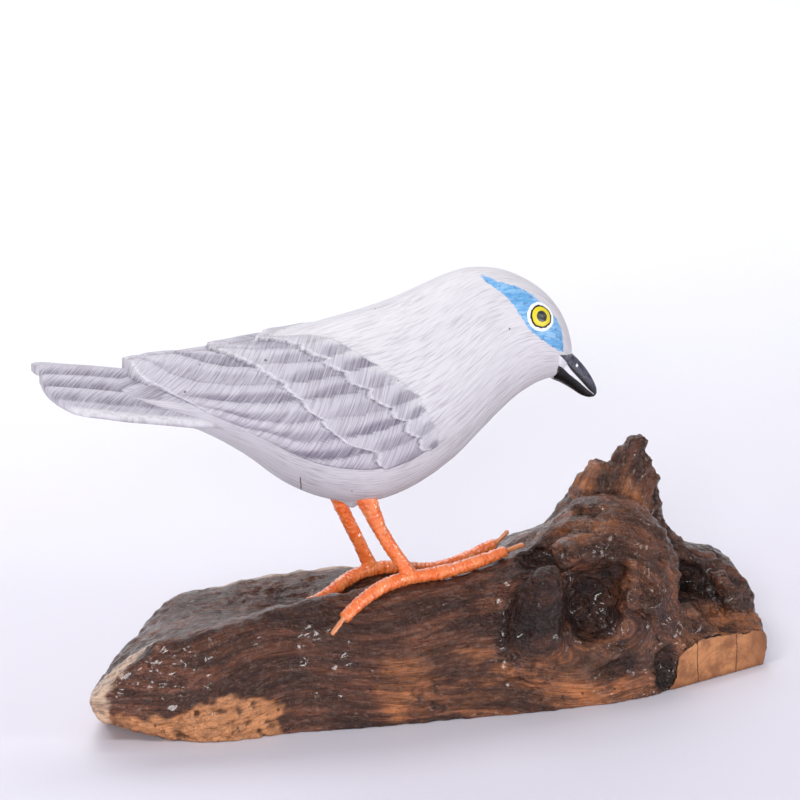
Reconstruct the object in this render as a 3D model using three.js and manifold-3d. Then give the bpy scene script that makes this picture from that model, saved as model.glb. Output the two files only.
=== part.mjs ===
import * as THREE from "three";
import { mergeVertices } from "three/addons/utils/BufferGeometryUtils.js";
import Module from "manifold-3d";

// Millimetres, +Z up. The bird faces +X, its own left side is +Y, and the underside of the wood is z = 0.

const wasm = await Module();
wasm.setup();

// How far a leg stays off the pieces that it touches.
const CUT_BACK = 0.4;

// Bird body: the top and the bottom of each section on the centre plane, and the half width.
const BODY_SECTIONS = [
  { top: [-114, 119.5], bottom: [-114, 113.5], half: 6 },
  { top: [-104, 121.0], bottom: [-104, 108.5], half: 10.5 },
  { top: [-92, 122.3], bottom: [-92, 103.8], half: 14 },
  { top: [-80, 123.6], bottom: [-80, 98.6], half: 17 },
  { top: [-66, 125.8], bottom: [-66, 89.7], half: 20.5 },
  { top: [-52, 128.3], bottom: [-52, 78.6], half: 23.5 },
  { top: [-38, 131.3], bottom: [-38, 71.9], half: 25.5 },
  { top: [-24, 134.0], bottom: [-24, 69.6], half: 26 },
  { top: [-12, 137.0], bottom: [-10, 72.8], half: 25 },
  { top: [-2, 140.6], bottom: [4, 80.2], half: 22.6 },
  { top: [6, 143.6], bottom: [14, 88.2], half: 19.8 },
  { top: [13, 145.2], bottom: [22, 95.0], half: 17.6 },
  { top: [20, 145.0], bottom: [29, 100.4], half: 16.2 },
  { top: [27, 143.4], bottom: [35, 103.6], half: 15.2 },
  { top: [34, 140.0], bottom: [39, 105.0], half: 14 },
  { top: [40, 135.6], bottom: [42, 105.6], half: 12.5 },
  { top: [44.5, 130.4], bottom: [44, 106.2], half: 10.5 },
  { top: [47.5, 124.8], bottom: [45.3, 107.0], half: 8.3 },
  { top: [49.2, 119.4], bottom: [47, 108.4], half: 6.2 },
  { top: [49.6, 116.0], bottom: [48.4, 110.6], half: 4.5 },
];
const BODY_RINGS_PER_SECTION = 2;
const BODY_RING_POINTS = 20;
const PLACE_SEARCH_END = 1e-4;

// Bill: the same kind of sections, from inside the head to the hooked tip.
const BILL_SECTIONS = [
  { top: [46.5, 116.0], bottom: [41.2, 107.6], half: 5.4 },
  { top: [49.4, 114.2], bottom: [43.4, 104.9], half: 5.0 },
  { top: [52.4, 111.6], bottom: [47.0, 103.0], half: 4.1 },
  { top: [55.6, 108.0], bottom: [50.8, 100.6], half: 3.1 },
  { top: [58.4, 103.9], bottom: [54.2, 98.2], half: 2.2 },
  { top: [60.1, 100.4], bottom: [57.0, 97.0], half: 1.3 },
  { top: [60.4, 98.4], bottom: [59.0, 96.9], half: 0.7 },
];
const BILL_RINGS_PER_SECTION = 2;
const BILL_RING_POINTS = 14;
const GAPE = { angle: 84, width: 12, depth: 0.6 };

// Tail: a roof-shaped blade, lower on the bird's right than on its left.
const TAIL = {
  rootX: -78,
  endX: -135,
  ridge: [[-135, 126.3], [-121, 124.9], [-105, 122.1], [-88, 119.6], [-78, 118]],
  rightSlope: [[-135, 0.6], [-118, 0.68], [-104, 0.76], [-88, 0.88]],
  leftSlope: [[-135, 0.17], [-118, 0.24], [-104, 0.4], [-88, 0.9]],
  halfWidth: [[-135, 16.4], [-126, 17.4], [-112, 17], [-100, 15.6], [-90, 13.4], [-78, 6]],
  ridgeThickness: 4.6,
  edgeThickness: 2.0,
  thinning: 0.7,
  endHalf: 17,
  cornerRadius: 11,
  notchDepth: 2.2,
  notchShare: 0.12,
  grooves: [0.2, 0.44, 0.72],
  grooveShare: 0.07,
  grooveDepth: 0.7,
  // Shares of the half width where the grid of one half has its lines, and the number of its rows.
  shares: [1, 0.86, 0.72, 0.58, 0.44, 0.32, 0.2, 0],
  rows: 10,
  rowCrowding: 0.85,
};

// Wing: feather lines, each as x and the angle down from the top of the body section, in degrees.
const WING_LINES = [
  [[-80, 0], [-72, 10], [-64, 22], [-55, 26], [-41, 25], [-8, 25]],
  [[-90, 0], [-82, 26], [-75, 37], [-68, 40], [-46, 43], [-36, 40], [-8, 39]],
  [[-102, 2], [-94, 40], [-86, 55], [-76, 61], [-60, 59], [-48, 57], [-30, 53], [-8, 52]],
  [[-103, 50], [-93, 76], [-83, 80], [-74, 80], [-64, 77], [-55, 71], [-41, 68], [-21, 66], [-8, 66]],
  [[-103, 80], [-88, 91], [-80, 94], [-71, 97], [-60, 92], [-48, 83], [-34, 81], [-15, 79], [-8, 79]],
  [[-103, 100], [-72, 109], [-67, 106], [-56, 103], [-49, 99], [-40, 94], [-26, 91], [-8, 89]],
  [[-103, 118], [-57, 116], [-45, 111], [-34, 105], [-23, 103], [-8, 103]],
  [[-103, 130], [-57, 126], [-45, 120], [-8, 117]],
];
// The wing's rear edge, the two steps between its rows of feathers and its front edge, as angle and x.
const WING_REAR = [[3, -105.5], [31, -101], [55, -98], [78, -93], [92, -88], [100, -83.5], [108, -77],
  [113, -69], [116, -58]];
const ROW_STEPS = [
  [[3, -78], [37, -69], [55, -61.5], [69, -56], [83, -49], [97, -41], [102, -31], [116, -26]],
  [[3, -58], [19, -52], [32, -49], [47, -43], [60, -37], [72, -30], [87, -21], [103, -15], [116, -10]],
];
const WING_FRONT = [[3, -60], [10, -54], [15, -48], [25, -41], [39, -36], [52, -30], [66, -21], [79, -15],
  [89, -13.5], [103, -9], [116, -8.5]];
const WING = {
  // Angles of the grid's columns, with one in each groove between feathers.
  columnAngles: [3, 9, 17, 25, 32, 39, 45.5, 52, 59, 66, 72.5, 79, 84, 89, 96, 103, 109.5, 116],
  rowsPerBand: [8, 5, 4],
  bandStart: 0.05,
  frontRise: 0.7,
  edgeRise: 2.0,
  tipRise: 5.6,
  // The x and the angles over which the tip's rise fades, and what is left of it at the lower edge.
  tipRange: [-104, -70],
  topRange: [20, 95],
  lowerTipShare: 0.3,
  frontRun: 24,
  rowStep: 0.35,
  grooveDepth: 0.8,
  crownPower: 0.7,
  scallop: 2.4,
  buried: 2.5,
};

// Legs: each path starts inside the belly; each toe follows the wood, and a thin wire claw ends it.
const TOE_RADIUS = 2.35;
const TOE_SIDES = 7;
const TOE_END_SHARE = 0.86;
const TOE_LIFT = 0.2;
const CLAW_RADIUS = 0.85;
const CLAW_TIP_SHARE = 0.7;
const CLAW_SIDES = 6;
const CLAW_ROOT_SHARE = 0.3;
const LEG_SIDES = 8;
const LEG_STEPS = 2;
const LEGS = {
  right_leg: {
    leg: [[-28, -8.2, 78], [-25.5, -9, 70.5], [-22, -9.8, 62], [-16.3, -11.2, 52], [-11.6, -12, 44.8]],
    radii: [4.2, 3.4, 2.5, 2.35, 2.75],
    toes: [
      [[-13.5, -12.6], [-5, -12], [6, -11.6], [15, -11.2], [22.5, -10.8]],
      [[-10.5, -12], [-20, -15], [-30, -18.8], [-38.8, -22]],
    ],
    claws: [[29.6, -10.2, 50.6], [-44.4, -25, 32.4]],
  },
  left_leg: {
    leg: [[-35, 7.4, 80], [-31.5, 8.2, 72], [-27.6, 9, 63], [-21.8, 10.6, 51.5], [-17, 11.8, 41.4]],
    radii: [3.6, 2.9, 2.45, 2.35, 2.7],
    toes: [
      [[-19, 11.2], [-8, 12.4], [4, 13], [16, 12.6], [28, 12]],
      [[-15.8, 11.6], [-27, 9], [-36, 5.6], [-42, 3.4]],
    ],
    claws: [[33, 11.6, 48.6], [-47, 1.4, 32.4]],
  },
};

// Driftwood: heights of the top along its front crest, its middle and its back ridge.
const CREST_Y = -13;
const MIDDLE_Y = 6;
const RIDGE_Y = 26;
const BACK_REACH_LEAST = 4;
const CREST_HEIGHT = [[-124, 15], [-111, 25], [-100, 32], [-84, 34], [-71, 36], [-57, 39.5], [-45, 41],
  [-25, 42], [-4, 42], [5, 43], [15, 45], [25, 48], [40, 51], [60, 48], [84, 30], [100, 14], [124, 9]];
const MIDDLE_HEIGHT = [[-124, 15], [-111, 22], [-100, 29], [-84, 33], [-71, 33.4], [-57, 31.6], [-45, 31],
  [-35, 32.6], [-25, 37.4], [-14, 39.6], [-4, 38], [5, 36], [15, 38.4], [25, 42.6], [40, 49], [60, 54],
  [84, 44], [98, 36], [114, 30], [124, 20]];
const RIDGE_HEIGHT = [[-124, 8], [-104, 16], [-96, 25], [-84, 34], [-57, 37], [-25, 38.1], [-4, 35],
  [5, 32], [15, 33], [25, 36], [40, 42], [60, 46], [84, 42], [100, 34], [114, 29], [124, 20]];
// Where the flanks meet the floor, front and back.
const FRONT_FOOT = [[-124, -14], [-97, -20], [-83, -26], [-56, -25], [-38, -29], [-8, -32], [32, -36],
  [62, -35.5], [80, -30], [124, -26]];
const BACK_FOOT = [[-124, 6], [-108, 20], [-90, 36], [-60, 43], [0, 45], [60, 44], [100, 40], [124, 26]];
// The axis that the wood's sections are drawn around, where they are, and how rays look for the surface.
const WOOD_AXIS_Y = [[-124, -8], [-104, 0], [-80, 4], [100, 2], [124, 0]];
const WOOD_UNDERCUT_X = -97;
const WOOD_UNDERCUT_SLOPE = 0.5;
const WOOD_STATION_RUNS = [
  { from: -123, to: 24, step: 6 },
  { from: 24, to: 117, step: 3.6 },
  { from: 117, to: 132, step: 2 },
];
const WOOD_RAYS = 32;
const WOOD_REACH = 80;
const WOOD_MARCH = 1.2;
const WOOD_LEAST_REACH = 0.4;
const WOOD_TOP_RANGE = [10, 70];
const SEARCH_END = 0.01;

// Round lumps that swell out of the trunk, in the order they are joined. The turn is about the vertical.
const LUMPS = {
  knot: { centre: [60.5, -8, 27], radii: [26.5, 25, 36.5], turn: 0, blend: 6 },
  knotBack: { centre: [70, 10, 22], radii: [34, 26, 26], turn: 0, blend: 8 },
  upperLobe: { centre: [109, 10, 10], radii: [28, 24, 25], turn: 10, blend: 6 },
  lowerLobe: { centre: [98, -8, 4], radii: [28, 24, 12], turn: 18, blend: 6 },
};
// The thumb-shaped root on the front of the knot, and the bead of wood inside the knot's hollow.
const THUMB = { from: [28.5, -33, 44.5], to: [14, -24, 16], fromRadius: 5.4, toRadius: 15, blend: 5 };
const BEAD = { centre: [39.5, -25, 51], radii: [6, 7, 7], turn: 0, blend: 2 };
// Hollows: the knot's eye socket, the dark recess beside the knot and the notch at the saw cut.
const HOLLOWS = {
  socket: { centre: [47.5, -31.5, 38], radii: [11.5, 14, 19], turn: 0, blend: 3 },
  recess: { centre: [98, -6, 27], radii: [14, 14, 9], turn: 0, blend: 4 },
  notch: { centre: [74, -33, 8], radii: [5, 5, 8], turn: 0, blend: 2 },
};
// Slanting planes that end the wood, each through a point and facing outwards.
const END_PLANES = {
  leftUndercut: { point: [-97, -19, 0], facing: [-0.46, -0.12, -0.88], blend: 5 },
  leftSlope: { point: [-124, -8, 16], facing: [-0.72, 0.56, 0.3], blend: 5 },
  rightEnd: { point: [117.5, -18, 0], facing: [1, -0.16, -0.42], blend: 3 },
  rightShoulder: { point: [119.5, 5, 25.4], facing: [1, -0.16, 0.94], blend: 4 },
};

// The standing splinter behind the knot: its outline in x and z, its middle plane and its thickness.
const SPLINTER = {
  outline: [[44, 30], [48, 46], [55, 56], [60, 63.6], [64.4, 70], [67.4, 70.6], [70, 69], [73, 69],
    [74.4, 73.2], [77, 74.4], [79, 76.8], [82.2, 78], [84, 76], [83.4, 72], [85, 70], [85.8, 66],
    [87.6, 62.6], [88, 57], [87.6, 50], [91, 44], [96, 30]],
  middleY: 12,
  baseHalf: 8,
  tipHalf: 2.6,
  baseZ: 40,
  tipZ: 79,
};

// The saw-cut end at the right: a vertical plane through two points of its foot, and the block cut away.
const SAW_CUT = {
  from: [84, -28.6],
  to: [117, -18],
  block: { length: 90, depth: 30, height: 120, before: 10 },
};

// A value read from a table of pairs, straight between them.
function lookup(table, at) {
  if (at <= table[0][0]) return table[0][1];
  for (let i = 1; i < table.length; i += 1) {
    if (at <= table[i][0]) {
      const part = (at - table[i - 1][0]) / (table[i][0] - table[i - 1][0]);
      return table[i - 1][1] + part * (table[i][1] - table[i - 1][1]);
    }
  }
  return table[table.length - 1][1];
}

const clamp = THREE.MathUtils.clamp;
const radians = THREE.MathUtils.degToRad;
const smooth = (low, high, at) => THREE.MathUtils.smoothstep(at, low, high);

// A section at a fractional place in a list of sections, by a Catmull-Rom curve through them.
function sectionAt(sections, place) {
  const first = clamp(Math.floor(place), 0, sections.length - 2);
  const part = place - first;
  const pick = (offset) => sections[clamp(first + offset, 0, sections.length - 1)];
  const [before, a, b, after] = [pick(-1), pick(0), pick(1), pick(2)];
  const blend = (read) => {
    const [p0, p1, p2, p3] = [read(before), read(a), read(b), read(after)];
    return 0.5 * (2 * p1 + (p2 - p0) * part + (2 * p0 - 5 * p1 + 4 * p2 - p3) * part ** 2
      + (3 * p1 - p0 - 3 * p2 + p3) * part ** 3);
  };
  const topX = blend((s) => s.top[0]);
  const topZ = blend((s) => s.top[1]);
  const bottomX = blend((s) => s.bottom[0]);
  const bottomZ = blend((s) => s.bottom[1]);
  return {
    x: (topX + bottomX) / 2,
    z: (topZ + bottomZ) / 2,
    reachX: (topX - bottomX) / 2,
    reachZ: (topZ - bottomZ) / 2,
    half: blend((s) => s.half),
  };
}

// A point on a section: the angle runs from its top over the side given, and rise lifts it off the surface.
function sectionPoint(section, angle, side, rise = 0) {
  const height = Math.hypot(section.reachX, section.reachZ);
  const stretch = (height + rise) / height;
  return [
    section.x + section.reachX * stretch * Math.cos(angle),
    side * (section.half + rise) * Math.sin(angle),
    section.z + section.reachZ * stretch * Math.cos(angle),
  ];
}

// The place in the body's list of sections whose middle lies at x.
function bodyPlaceAt(x) {
  let low = 0;
  let high = BODY_SECTIONS.length - 1;
  while (high - low > PLACE_SEARCH_END) {
    const middle = (low + high) / 2;
    if (sectionAt(BODY_SECTIONS, middle).x < x) low = middle;
    else high = middle;
  }
  return (low + high) / 2;
}

// A solid from a list of points and triangles.
function solidFrom(points, triangles) {
  const mesh = new wasm.Mesh({
    numProp: 3,
    vertProperties: new Float32Array(points.flat()),
    triVerts: new Uint32Array(triangles.flat()),
  });
  mesh.merge();
  const solid = new wasm.Manifold(mesh);
  return solid.volume() < 0 ? solidFrom(points, triangles.map(([a, b, c]) => [a, c, b])) : solid;
}

// A closed solid from rings of points: neighbouring rings are joined, and each end is closed by a fan.
function solidFromRings(rings) {
  const size = rings[0].length;
  const points = rings.flat();
  const triangles = [];
  for (let i = 0; i + 1 < rings.length; i += 1) {
    for (let j = 0; j < size; j += 1) {
      const a = i * size + j;
      const b = i * size + ((j + 1) % size);
      triangles.push([a, b, b + size], [a, b + size, a + size]);
    }
  }
  const middle = (ring) => [0, 1, 2].map((k) => ring.reduce((sum, p) => sum + p[k], 0) / size);
  const start = points.push(middle(rings[0])) - 1;
  const end = points.push(middle(rings[rings.length - 1])) - 1;
  const last = (rings.length - 1) * size;
  for (let j = 0; j < size; j += 1) {
    const next = (j + 1) % size;
    triangles.push([start, next, j], [end, last + j, last + next]);
  }
  return solidFrom(points, triangles);
}

// A closed solid between an outer and an inner grid of points of the same size.
function solidFromPlates(outer, inner) {
  const columns = outer[0].length;
  const points = [...outer.flat(), ...inner.flat()];
  const shift = outer.length * columns;
  const triangles = [];
  const quad = (a, b, c, d) => triangles.push([a, b, c], [a, c, d]);
  for (let i = 0; i + 1 < outer.length; i += 1) {
    for (let j = 0; j + 1 < columns; j += 1) {
      const a = i * columns + j;
      quad(a, a + columns, a + columns + 1, a + 1);
      quad(a + shift, a + 1 + shift, a + columns + 1 + shift, a + columns + shift);
    }
  }
  const rim = [];
  for (let j = 0; j + 1 < columns; j += 1) rim.push(j);
  for (let i = 0; i + 1 < outer.length; i += 1) rim.push(i * columns + columns - 1);
  for (let j = columns - 1; j > 0; j -= 1) rim.push((outer.length - 1) * columns + j);
  for (let i = outer.length - 1; i > 0; i -= 1) rim.push(i * columns);
  rim.forEach((a, k) => {
    const b = rim[(k + 1) % rim.length];
    quad(a, b, b + shift, a + shift);
  });
  return solidFrom(points, triangles);
}

// The body, grown by the rise given.
function bodySolid(rise = 0) {
  const rings = [];
  const count = (BODY_SECTIONS.length - 1) * BODY_RINGS_PER_SECTION;
  for (let i = 0; i <= count; i += 1) {
    const section = sectionAt(BODY_SECTIONS, i / BODY_RINGS_PER_SECTION);
    const ring = [];
    for (let j = 0; j < BODY_RING_POINTS; j += 1) {
      ring.push(sectionPoint(section, (2 * Math.PI * j) / BODY_RING_POINTS, 1, rise));
    }
    rings.push(ring);
  }
  return solidFromRings(rings);
}

// The bill, with a groove along each side where the two halves meet.
function billSolid() {
  const rings = [];
  const count = (BILL_SECTIONS.length - 1) * BILL_RINGS_PER_SECTION;
  for (let i = 0; i <= count; i += 1) {
    const section = sectionAt(BILL_SECTIONS, i / BILL_RINGS_PER_SECTION);
    const ring = [];
    for (let j = 0; j < BILL_RING_POINTS; j += 1) {
      const degrees = (360 * j) / BILL_RING_POINTS;
      const offGape = Math.abs(Math.min(degrees, 360 - degrees) - GAPE.angle);
      const depth = Math.min(GAPE.depth, section.half / 3) * clamp(1 - offGape / GAPE.width, 0, 1);
      ring.push(sectionPoint(section, radians(degrees), 1, -depth));
    }
    rings.push(ring);
  }
  return solidFromRings(rings);
}

// How deep the tail's feather grooves are at a share of the half width.
function tailGroove(share) {
  const nearest = Math.min(...TAIL.grooves.map((groove) => Math.abs(Math.abs(share) - groove)));
  return TAIL.grooveDepth * clamp(1 - nearest / TAIL.grooveShare, 0, 1);
}

// The tail blade, from its root inside the body to its end with round outer corners and a notch.
function tailSolid() {
  const upper = [];
  const lower = [];
  const across = [...TAIL.shares.map((share) => -share), ...TAIL.shares.slice(0, -1).reverse()];
  for (let i = 0; i <= TAIL.rows; i += 1) {
    const upperRow = [];
    const lowerRow = [];
    for (const share of across) {
      const beyond = clamp((Math.abs(share) - 1) * (TAIL.endHalf / TAIL.cornerRadius) + 1, 0, 1);
      const corner = TAIL.cornerRadius * (1 - Math.sqrt(1 - beyond ** 2));
      const notch = TAIL.notchDepth * clamp(1 - Math.abs(share) / TAIL.notchShare, 0, 1);
      const endX = TAIL.endX + corner + notch;
      const x = TAIL.rootX + (endX - TAIL.rootX) * (i / TAIL.rows) ** TAIL.rowCrowding;
      const y = share * lookup(TAIL.halfWidth, x);
      const slope = lookup(y < 0 ? TAIL.rightSlope : TAIL.leftSlope, x);
      const z = lookup(TAIL.ridge, x) - slope * Math.abs(y);
      const outward = Math.abs(share) ** TAIL.thinning;
      const thickness = THREE.MathUtils.lerp(TAIL.ridgeThickness, TAIL.edgeThickness, outward);
      upperRow.push([x, y, z - tailGroove(share)]);
      lowerRow.push([x, y, z - thickness * Math.hypot(1, slope)]);
    }
    upper.push(upperRow);
    lower.push(lowerRow);
  }
  return solidFromPlates(upper, lower);
}

// How far into a feather's width an angle lies at x: 0 in the grooves on both sides, 1 on its crown.
function featherCrown(x, angle) {
  const lines = WING_LINES.map((line) => lookup(line, x));
  const k = lines.findIndex((line, n) => angle >= line && angle < (lines[n + 1] ?? Infinity));
  if (k < 0 || k + 1 >= lines.length) return 1;
  return Math.sin((Math.PI * (angle - lines[k])) / (lines[k + 1] - lines[k])) ** WING.crownPower;
}

// How far the wing's surface stands off the body at x and an angle from the top, in the band given.
function wingRise(band, x, angle) {
  const front = lookup(WING_FRONT, angle);
  const towardTip = 1 - smooth(...WING.tipRange, x);
  const towardTop = THREE.MathUtils.lerp(1, WING.lowerTipShare, smooth(...WING.topRange, angle));
  const level = THREE.MathUtils.lerp(WING.edgeRise, WING.tipRise, towardTip * towardTop);
  const base = THREE.MathUtils.lerp(level, WING.frontRise, smooth(front - WING.frontRun, front, x));
  return base + WING.rowStep * band - WING.grooveDepth * (1 - featherCrown(x, angle));
}

// The x of a row of the wing's grid, in bands of feathers from the rear edge to the front edge.
function wingRowX(band, share, angle) {
  const edges = [WING_REAR, ...ROW_STEPS, WING_FRONT].map((edge) => lookup(edge, angle));
  const setBack = WING.scallop * (1 - featherCrown(edges[3] - WING.scallop, angle));
  edges[3] -= setBack;
  return THREE.MathUtils.lerp(edges[band], edges[band + 1], share);
}

// One wing, on the side given: a carved plate that lies on the body.
function wingSolid(side) {
  const outer = [];
  const inner = [];
  WING.rowsPerBand.forEach((rows, band) => {
    for (let i = 0; i <= rows; i += 1) {
      const share = i === 0 && band > 0 ? WING.bandStart : i / rows;
      const stations = WING.columnAngles.map((angle) => {
        const x = wingRowX(band, share, angle);
        return { angle, x, section: sectionAt(BODY_SECTIONS, bodyPlaceAt(x)) };
      });
      const pointAt = ({ angle, section }, rise) => sectionPoint(section, radians(angle), side, rise);
      outer.push(stations.map((station) => pointAt(station, wingRise(band, station.x, station.angle))));
      inner.push(stations.map((station) => pointAt(station, -WING.buried)));
    }
  });
  return solidFromPlates(outer, inner);
}

const joined = (solids) => solids.reduce((sum, solid) => sum.add(solid));

function birdSolid() {
  return joined([bodySolid(), tailSolid(), wingSolid(-1), wingSolid(1), billSolid()]);
}

// Smooth union and smooth cut of two signed distances.
function blendMin(a, b, radius) {
  const share = Math.max(radius - Math.abs(a - b), 0) / radius;
  return Math.min(a, b) - (share * share * radius) / 4;
}
const blendMax = (a, b, radius) => -blendMin(-a, -b, radius);

// About how far a point is from an ellipsoid.
function ellipsoid([x, y, z], { centre, radii, turn }) {
  const [dx, dy] = [x - centre[0], y - centre[1]];
  const [c, s] = [Math.cos(radians(turn)), Math.sin(radians(turn))];
  const local = [(dx * c + dy * s) / radii[0], (dy * c - dx * s) / radii[1], (z - centre[2]) / radii[2]];
  const size = Math.hypot(...local);
  const steep = Math.hypot(local[0] / radii[0], local[1] / radii[1], local[2] / radii[2]);
  return steep < 1e-9 ? -Math.min(...radii) : ((size - 1) * size) / steep;
}

// A rod with round ends whose radius runs from one end to the other.
function taperedRod([x, y, z], { from, to, fromRadius, toRadius }) {
  const start = new THREE.Vector3(...from);
  const axis = new THREE.Vector3(...to).sub(start);
  const offset = new THREE.Vector3(x, y, z).sub(start);
  const part = clamp(offset.dot(axis) / axis.lengthSq(), 0, 1);
  const gap = offset.addScaledVector(axis, -part).length();
  return gap - THREE.MathUtils.lerp(fromRadius, toRadius, part);
}

// The lying trunk: a top that follows the crest, the middle and the ridge, and rounded flanks.
function trunk([x, y, z]) {
  const crest = lookup(CREST_HEIGHT, x);
  const middle = lookup(MIDDLE_HEIGHT, x);
  const ridge = lookup(RIDGE_HEIGHT, x);
  const top = y < MIDDLE_Y
    ? THREE.MathUtils.lerp(crest, middle, smooth(CREST_Y, MIDDLE_Y, y))
    : THREE.MathUtils.lerp(middle, ridge, smooth(MIDDLE_Y, RIDGE_Y, y));
  const frontReach = CREST_Y - lookup(FRONT_FOOT, x);
  const backReach = Math.max(lookup(BACK_FOOT, x) - RIDGE_Y, BACK_REACH_LEAST);
  if (y >= CREST_Y && y <= RIDGE_Y) return z - top;
  const reach = y < CREST_Y ? frontReach : backReach;
  const out = (y < CREST_Y ? CREST_Y - y : y - RIDGE_Y) / reach;
  const up = Math.max(z, 0) / top;
  const size = Math.hypot(out, up);
  return ((size - 1) * size) / Math.hypot(out / reach, up / top);
}

// How far a point is outside a slanting end plane.
function beyondPlane(p, { point, facing }) {
  return p.reduce((sum, value, k) => sum + (value - point[k]) * facing[k], 0) / Math.hypot(...facing);
}

// The driftwood as a distance, negative inside, without its standing splinter and its saw cut.
function woodField(p) {
  let field = trunk(p);
  Object.values(LUMPS).forEach((lump) => {
    field = blendMin(field, ellipsoid(p, lump), lump.blend);
  });
  field = blendMin(field, taperedRod(p, THUMB), THUMB.blend);
  Object.values(HOLLOWS).forEach((hollow) => {
    field = blendMax(field, -ellipsoid(p, hollow), hollow.blend);
  });
  field = blendMin(field, ellipsoid(p, BEAD), BEAD.blend);
  Object.values(END_PLANES).forEach((plane) => {
    field = blendMax(field, beyondPlane(p, plane), plane.blend);
  });
  return field;
}

// The height of the underside: the floor, and the undercut below the left tip.
const undersideAt = (x) => Math.max(0, (WOOD_UNDERCUT_X - x) * WOOD_UNDERCUT_SLOPE);

// Where a ray from the trunk's axis, at an angle from the front over the top, leaves the field's level.
function woodSurfaceAt(x, angle, level) {
  const axis = [x, lookup(WOOD_AXIS_Y, x), undersideAt(x)];
  const at = (reach) => [x, axis[1] - reach * Math.cos(angle), axis[2] + reach * Math.sin(angle)];
  let outside = WOOD_REACH;
  while (outside > 0 && woodField(at(outside)) > level) outside -= WOOD_MARCH;
  let [low, high] = [Math.max(outside, 0), Math.max(outside, 0) + WOOD_MARCH];
  while (high - low > SEARCH_END) {
    const middle = (low + high) / 2;
    if (woodField(at(middle)) > level) high = middle;
    else low = middle;
  }
  return at(Math.max(high, WOOD_LEAST_REACH));
}

// The driftwood without its splinter: sections across x, flat on the floor, each an arch of rays.
function trunkSolid(level) {
  const rings = [];
  for (const { from, to, step } of WOOD_STATION_RUNS) {
    for (let x = from; x < to; x += step) {
      if (woodField([x, lookup(WOOD_AXIS_Y, x), undersideAt(x)]) > level - WOOD_LEAST_REACH) continue;
      const ring = [];
      for (let j = 0; j <= WOOD_RAYS; j += 1) ring.push(woodSurfaceAt(x, (Math.PI * j) / WOOD_RAYS, level));
      rings.push(ring);
    }
  }
  return solidFromRings(rings);
}

// A solid from a three.js geometry.
function solidFromGeometry(geometry) {
  geometry.deleteAttribute("normal");
  geometry.deleteAttribute("uv");
  const merged = mergeVertices(geometry, 1e-4);
  const mesh = new wasm.Mesh({
    numProp: 3,
    vertProperties: new Float32Array(merged.attributes.position.array),
    triVerts: new Uint32Array(merged.index.array),
  });
  return new wasm.Manifold(mesh);
}

// The standing splinter: its outline, thinner towards its tip.
function splinterSolid(rise = 0) {
  const shape = new THREE.Shape(SPLINTER.outline.map(([x, z]) => new THREE.Vector2(x, z)));
  const geometry = new THREE.ExtrudeGeometry(shape, { depth: 1, steps: 1, bevelEnabled: false });
  const position = geometry.attributes.position;
  for (let i = 0; i < position.count; i += 1) {
    const [x, z, face] = [position.getX(i), position.getY(i), position.getZ(i) * 2 - 1];
    const part = smooth(SPLINTER.baseZ, SPLINTER.tipZ, z);
    const half = THREE.MathUtils.lerp(SPLINTER.baseHalf, SPLINTER.tipHalf, part) + rise;
    position.setXYZ(i, x, SPLINTER.middleY - face * half, z);
  }
  return solidFromGeometry(geometry);
}

// A block that holds everything in front of the saw cut, near the right end.
function beyondSawCut() {
  const [from, to] = [new THREE.Vector2(...SAW_CUT.from), new THREE.Vector2(...SAW_CUT.to)];
  const { length, depth, height, before } = SAW_CUT.block;
  const geometry = new THREE.BoxGeometry(length, depth, height);
  geometry.translate(length / 2 - before, -depth / 2, 0);
  geometry.rotateZ(Math.atan2(to.y - from.y, to.x - from.x));
  geometry.translate(from.x, from.y, 0);
  return solidFromGeometry(geometry);
}

function woodSolid(rise = 0) {
  return trunkSolid(rise).add(splinterSolid(rise)).subtract(beyondSawCut());
}

// The height of the wood's top at x and y.
function woodTopAt(x, y) {
  let [low, high] = WOOD_TOP_RANGE;
  while (high - low > SEARCH_END) {
    const z = (high + low) / 2;
    if (woodField([x, y, z]) > 0) high = z;
    else low = z;
  }
  return (high + low) / 2;
}

// A round rod through a list of points, with a radius at each of them.
function rodSolid(path, radii, sides = TOE_SIDES, stepsPerSpan = 1) {
  const curve = new THREE.CatmullRomCurve3(path.map((p) => new THREE.Vector3(...p)));
  const count = (path.length - 1) * stepsPerSpan;
  const frames = curve.computeFrenetFrames(count, false);
  const rings = [];
  for (let i = 0; i <= count; i += 1) {
    const centre = curve.getPoint(i / count);
    const place = i / stepsPerSpan;
    const first = Math.min(Math.floor(place), radii.length - 2);
    const radius = THREE.MathUtils.lerp(radii[first], radii[first + 1], place - first);
    const ring = [];
    for (let j = 0; j < sides; j += 1) {
      const angle = (2 * Math.PI * j) / sides;
      const offset = frames.normals[i].clone().multiplyScalar(radius * Math.cos(angle))
        .addScaledVector(frames.binormals[i], radius * Math.sin(angle));
      ring.push(centre.clone().add(offset).toArray());
    }
    rings.push(ring);
  }
  return solidFromRings(rings);
}

// A toe lies on the wood: its route is given from above, and its claw leaves its end.
function toeSolids(route, clawEnd) {
  const path = route.map(([x, y]) => [x, y, woodTopAt(x, y) + TOE_RADIUS + TOE_LIFT]);
  const radii = path.map((point, i) => TOE_RADIUS * (i === path.length - 1 ? TOE_END_SHARE : 1));
  const last = path[path.length - 1];
  const before = path[path.length - 2];
  const start = last.map((value, k) => THREE.MathUtils.lerp(value, before[k], CLAW_ROOT_SHARE));
  const clawRadii = [CLAW_RADIUS, CLAW_RADIUS, CLAW_RADIUS * CLAW_TIP_SHARE];
  return [rodSolid(path, radii), rodSolid([start, last, clawEnd], clawRadii, CLAW_SIDES)];
}

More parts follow.
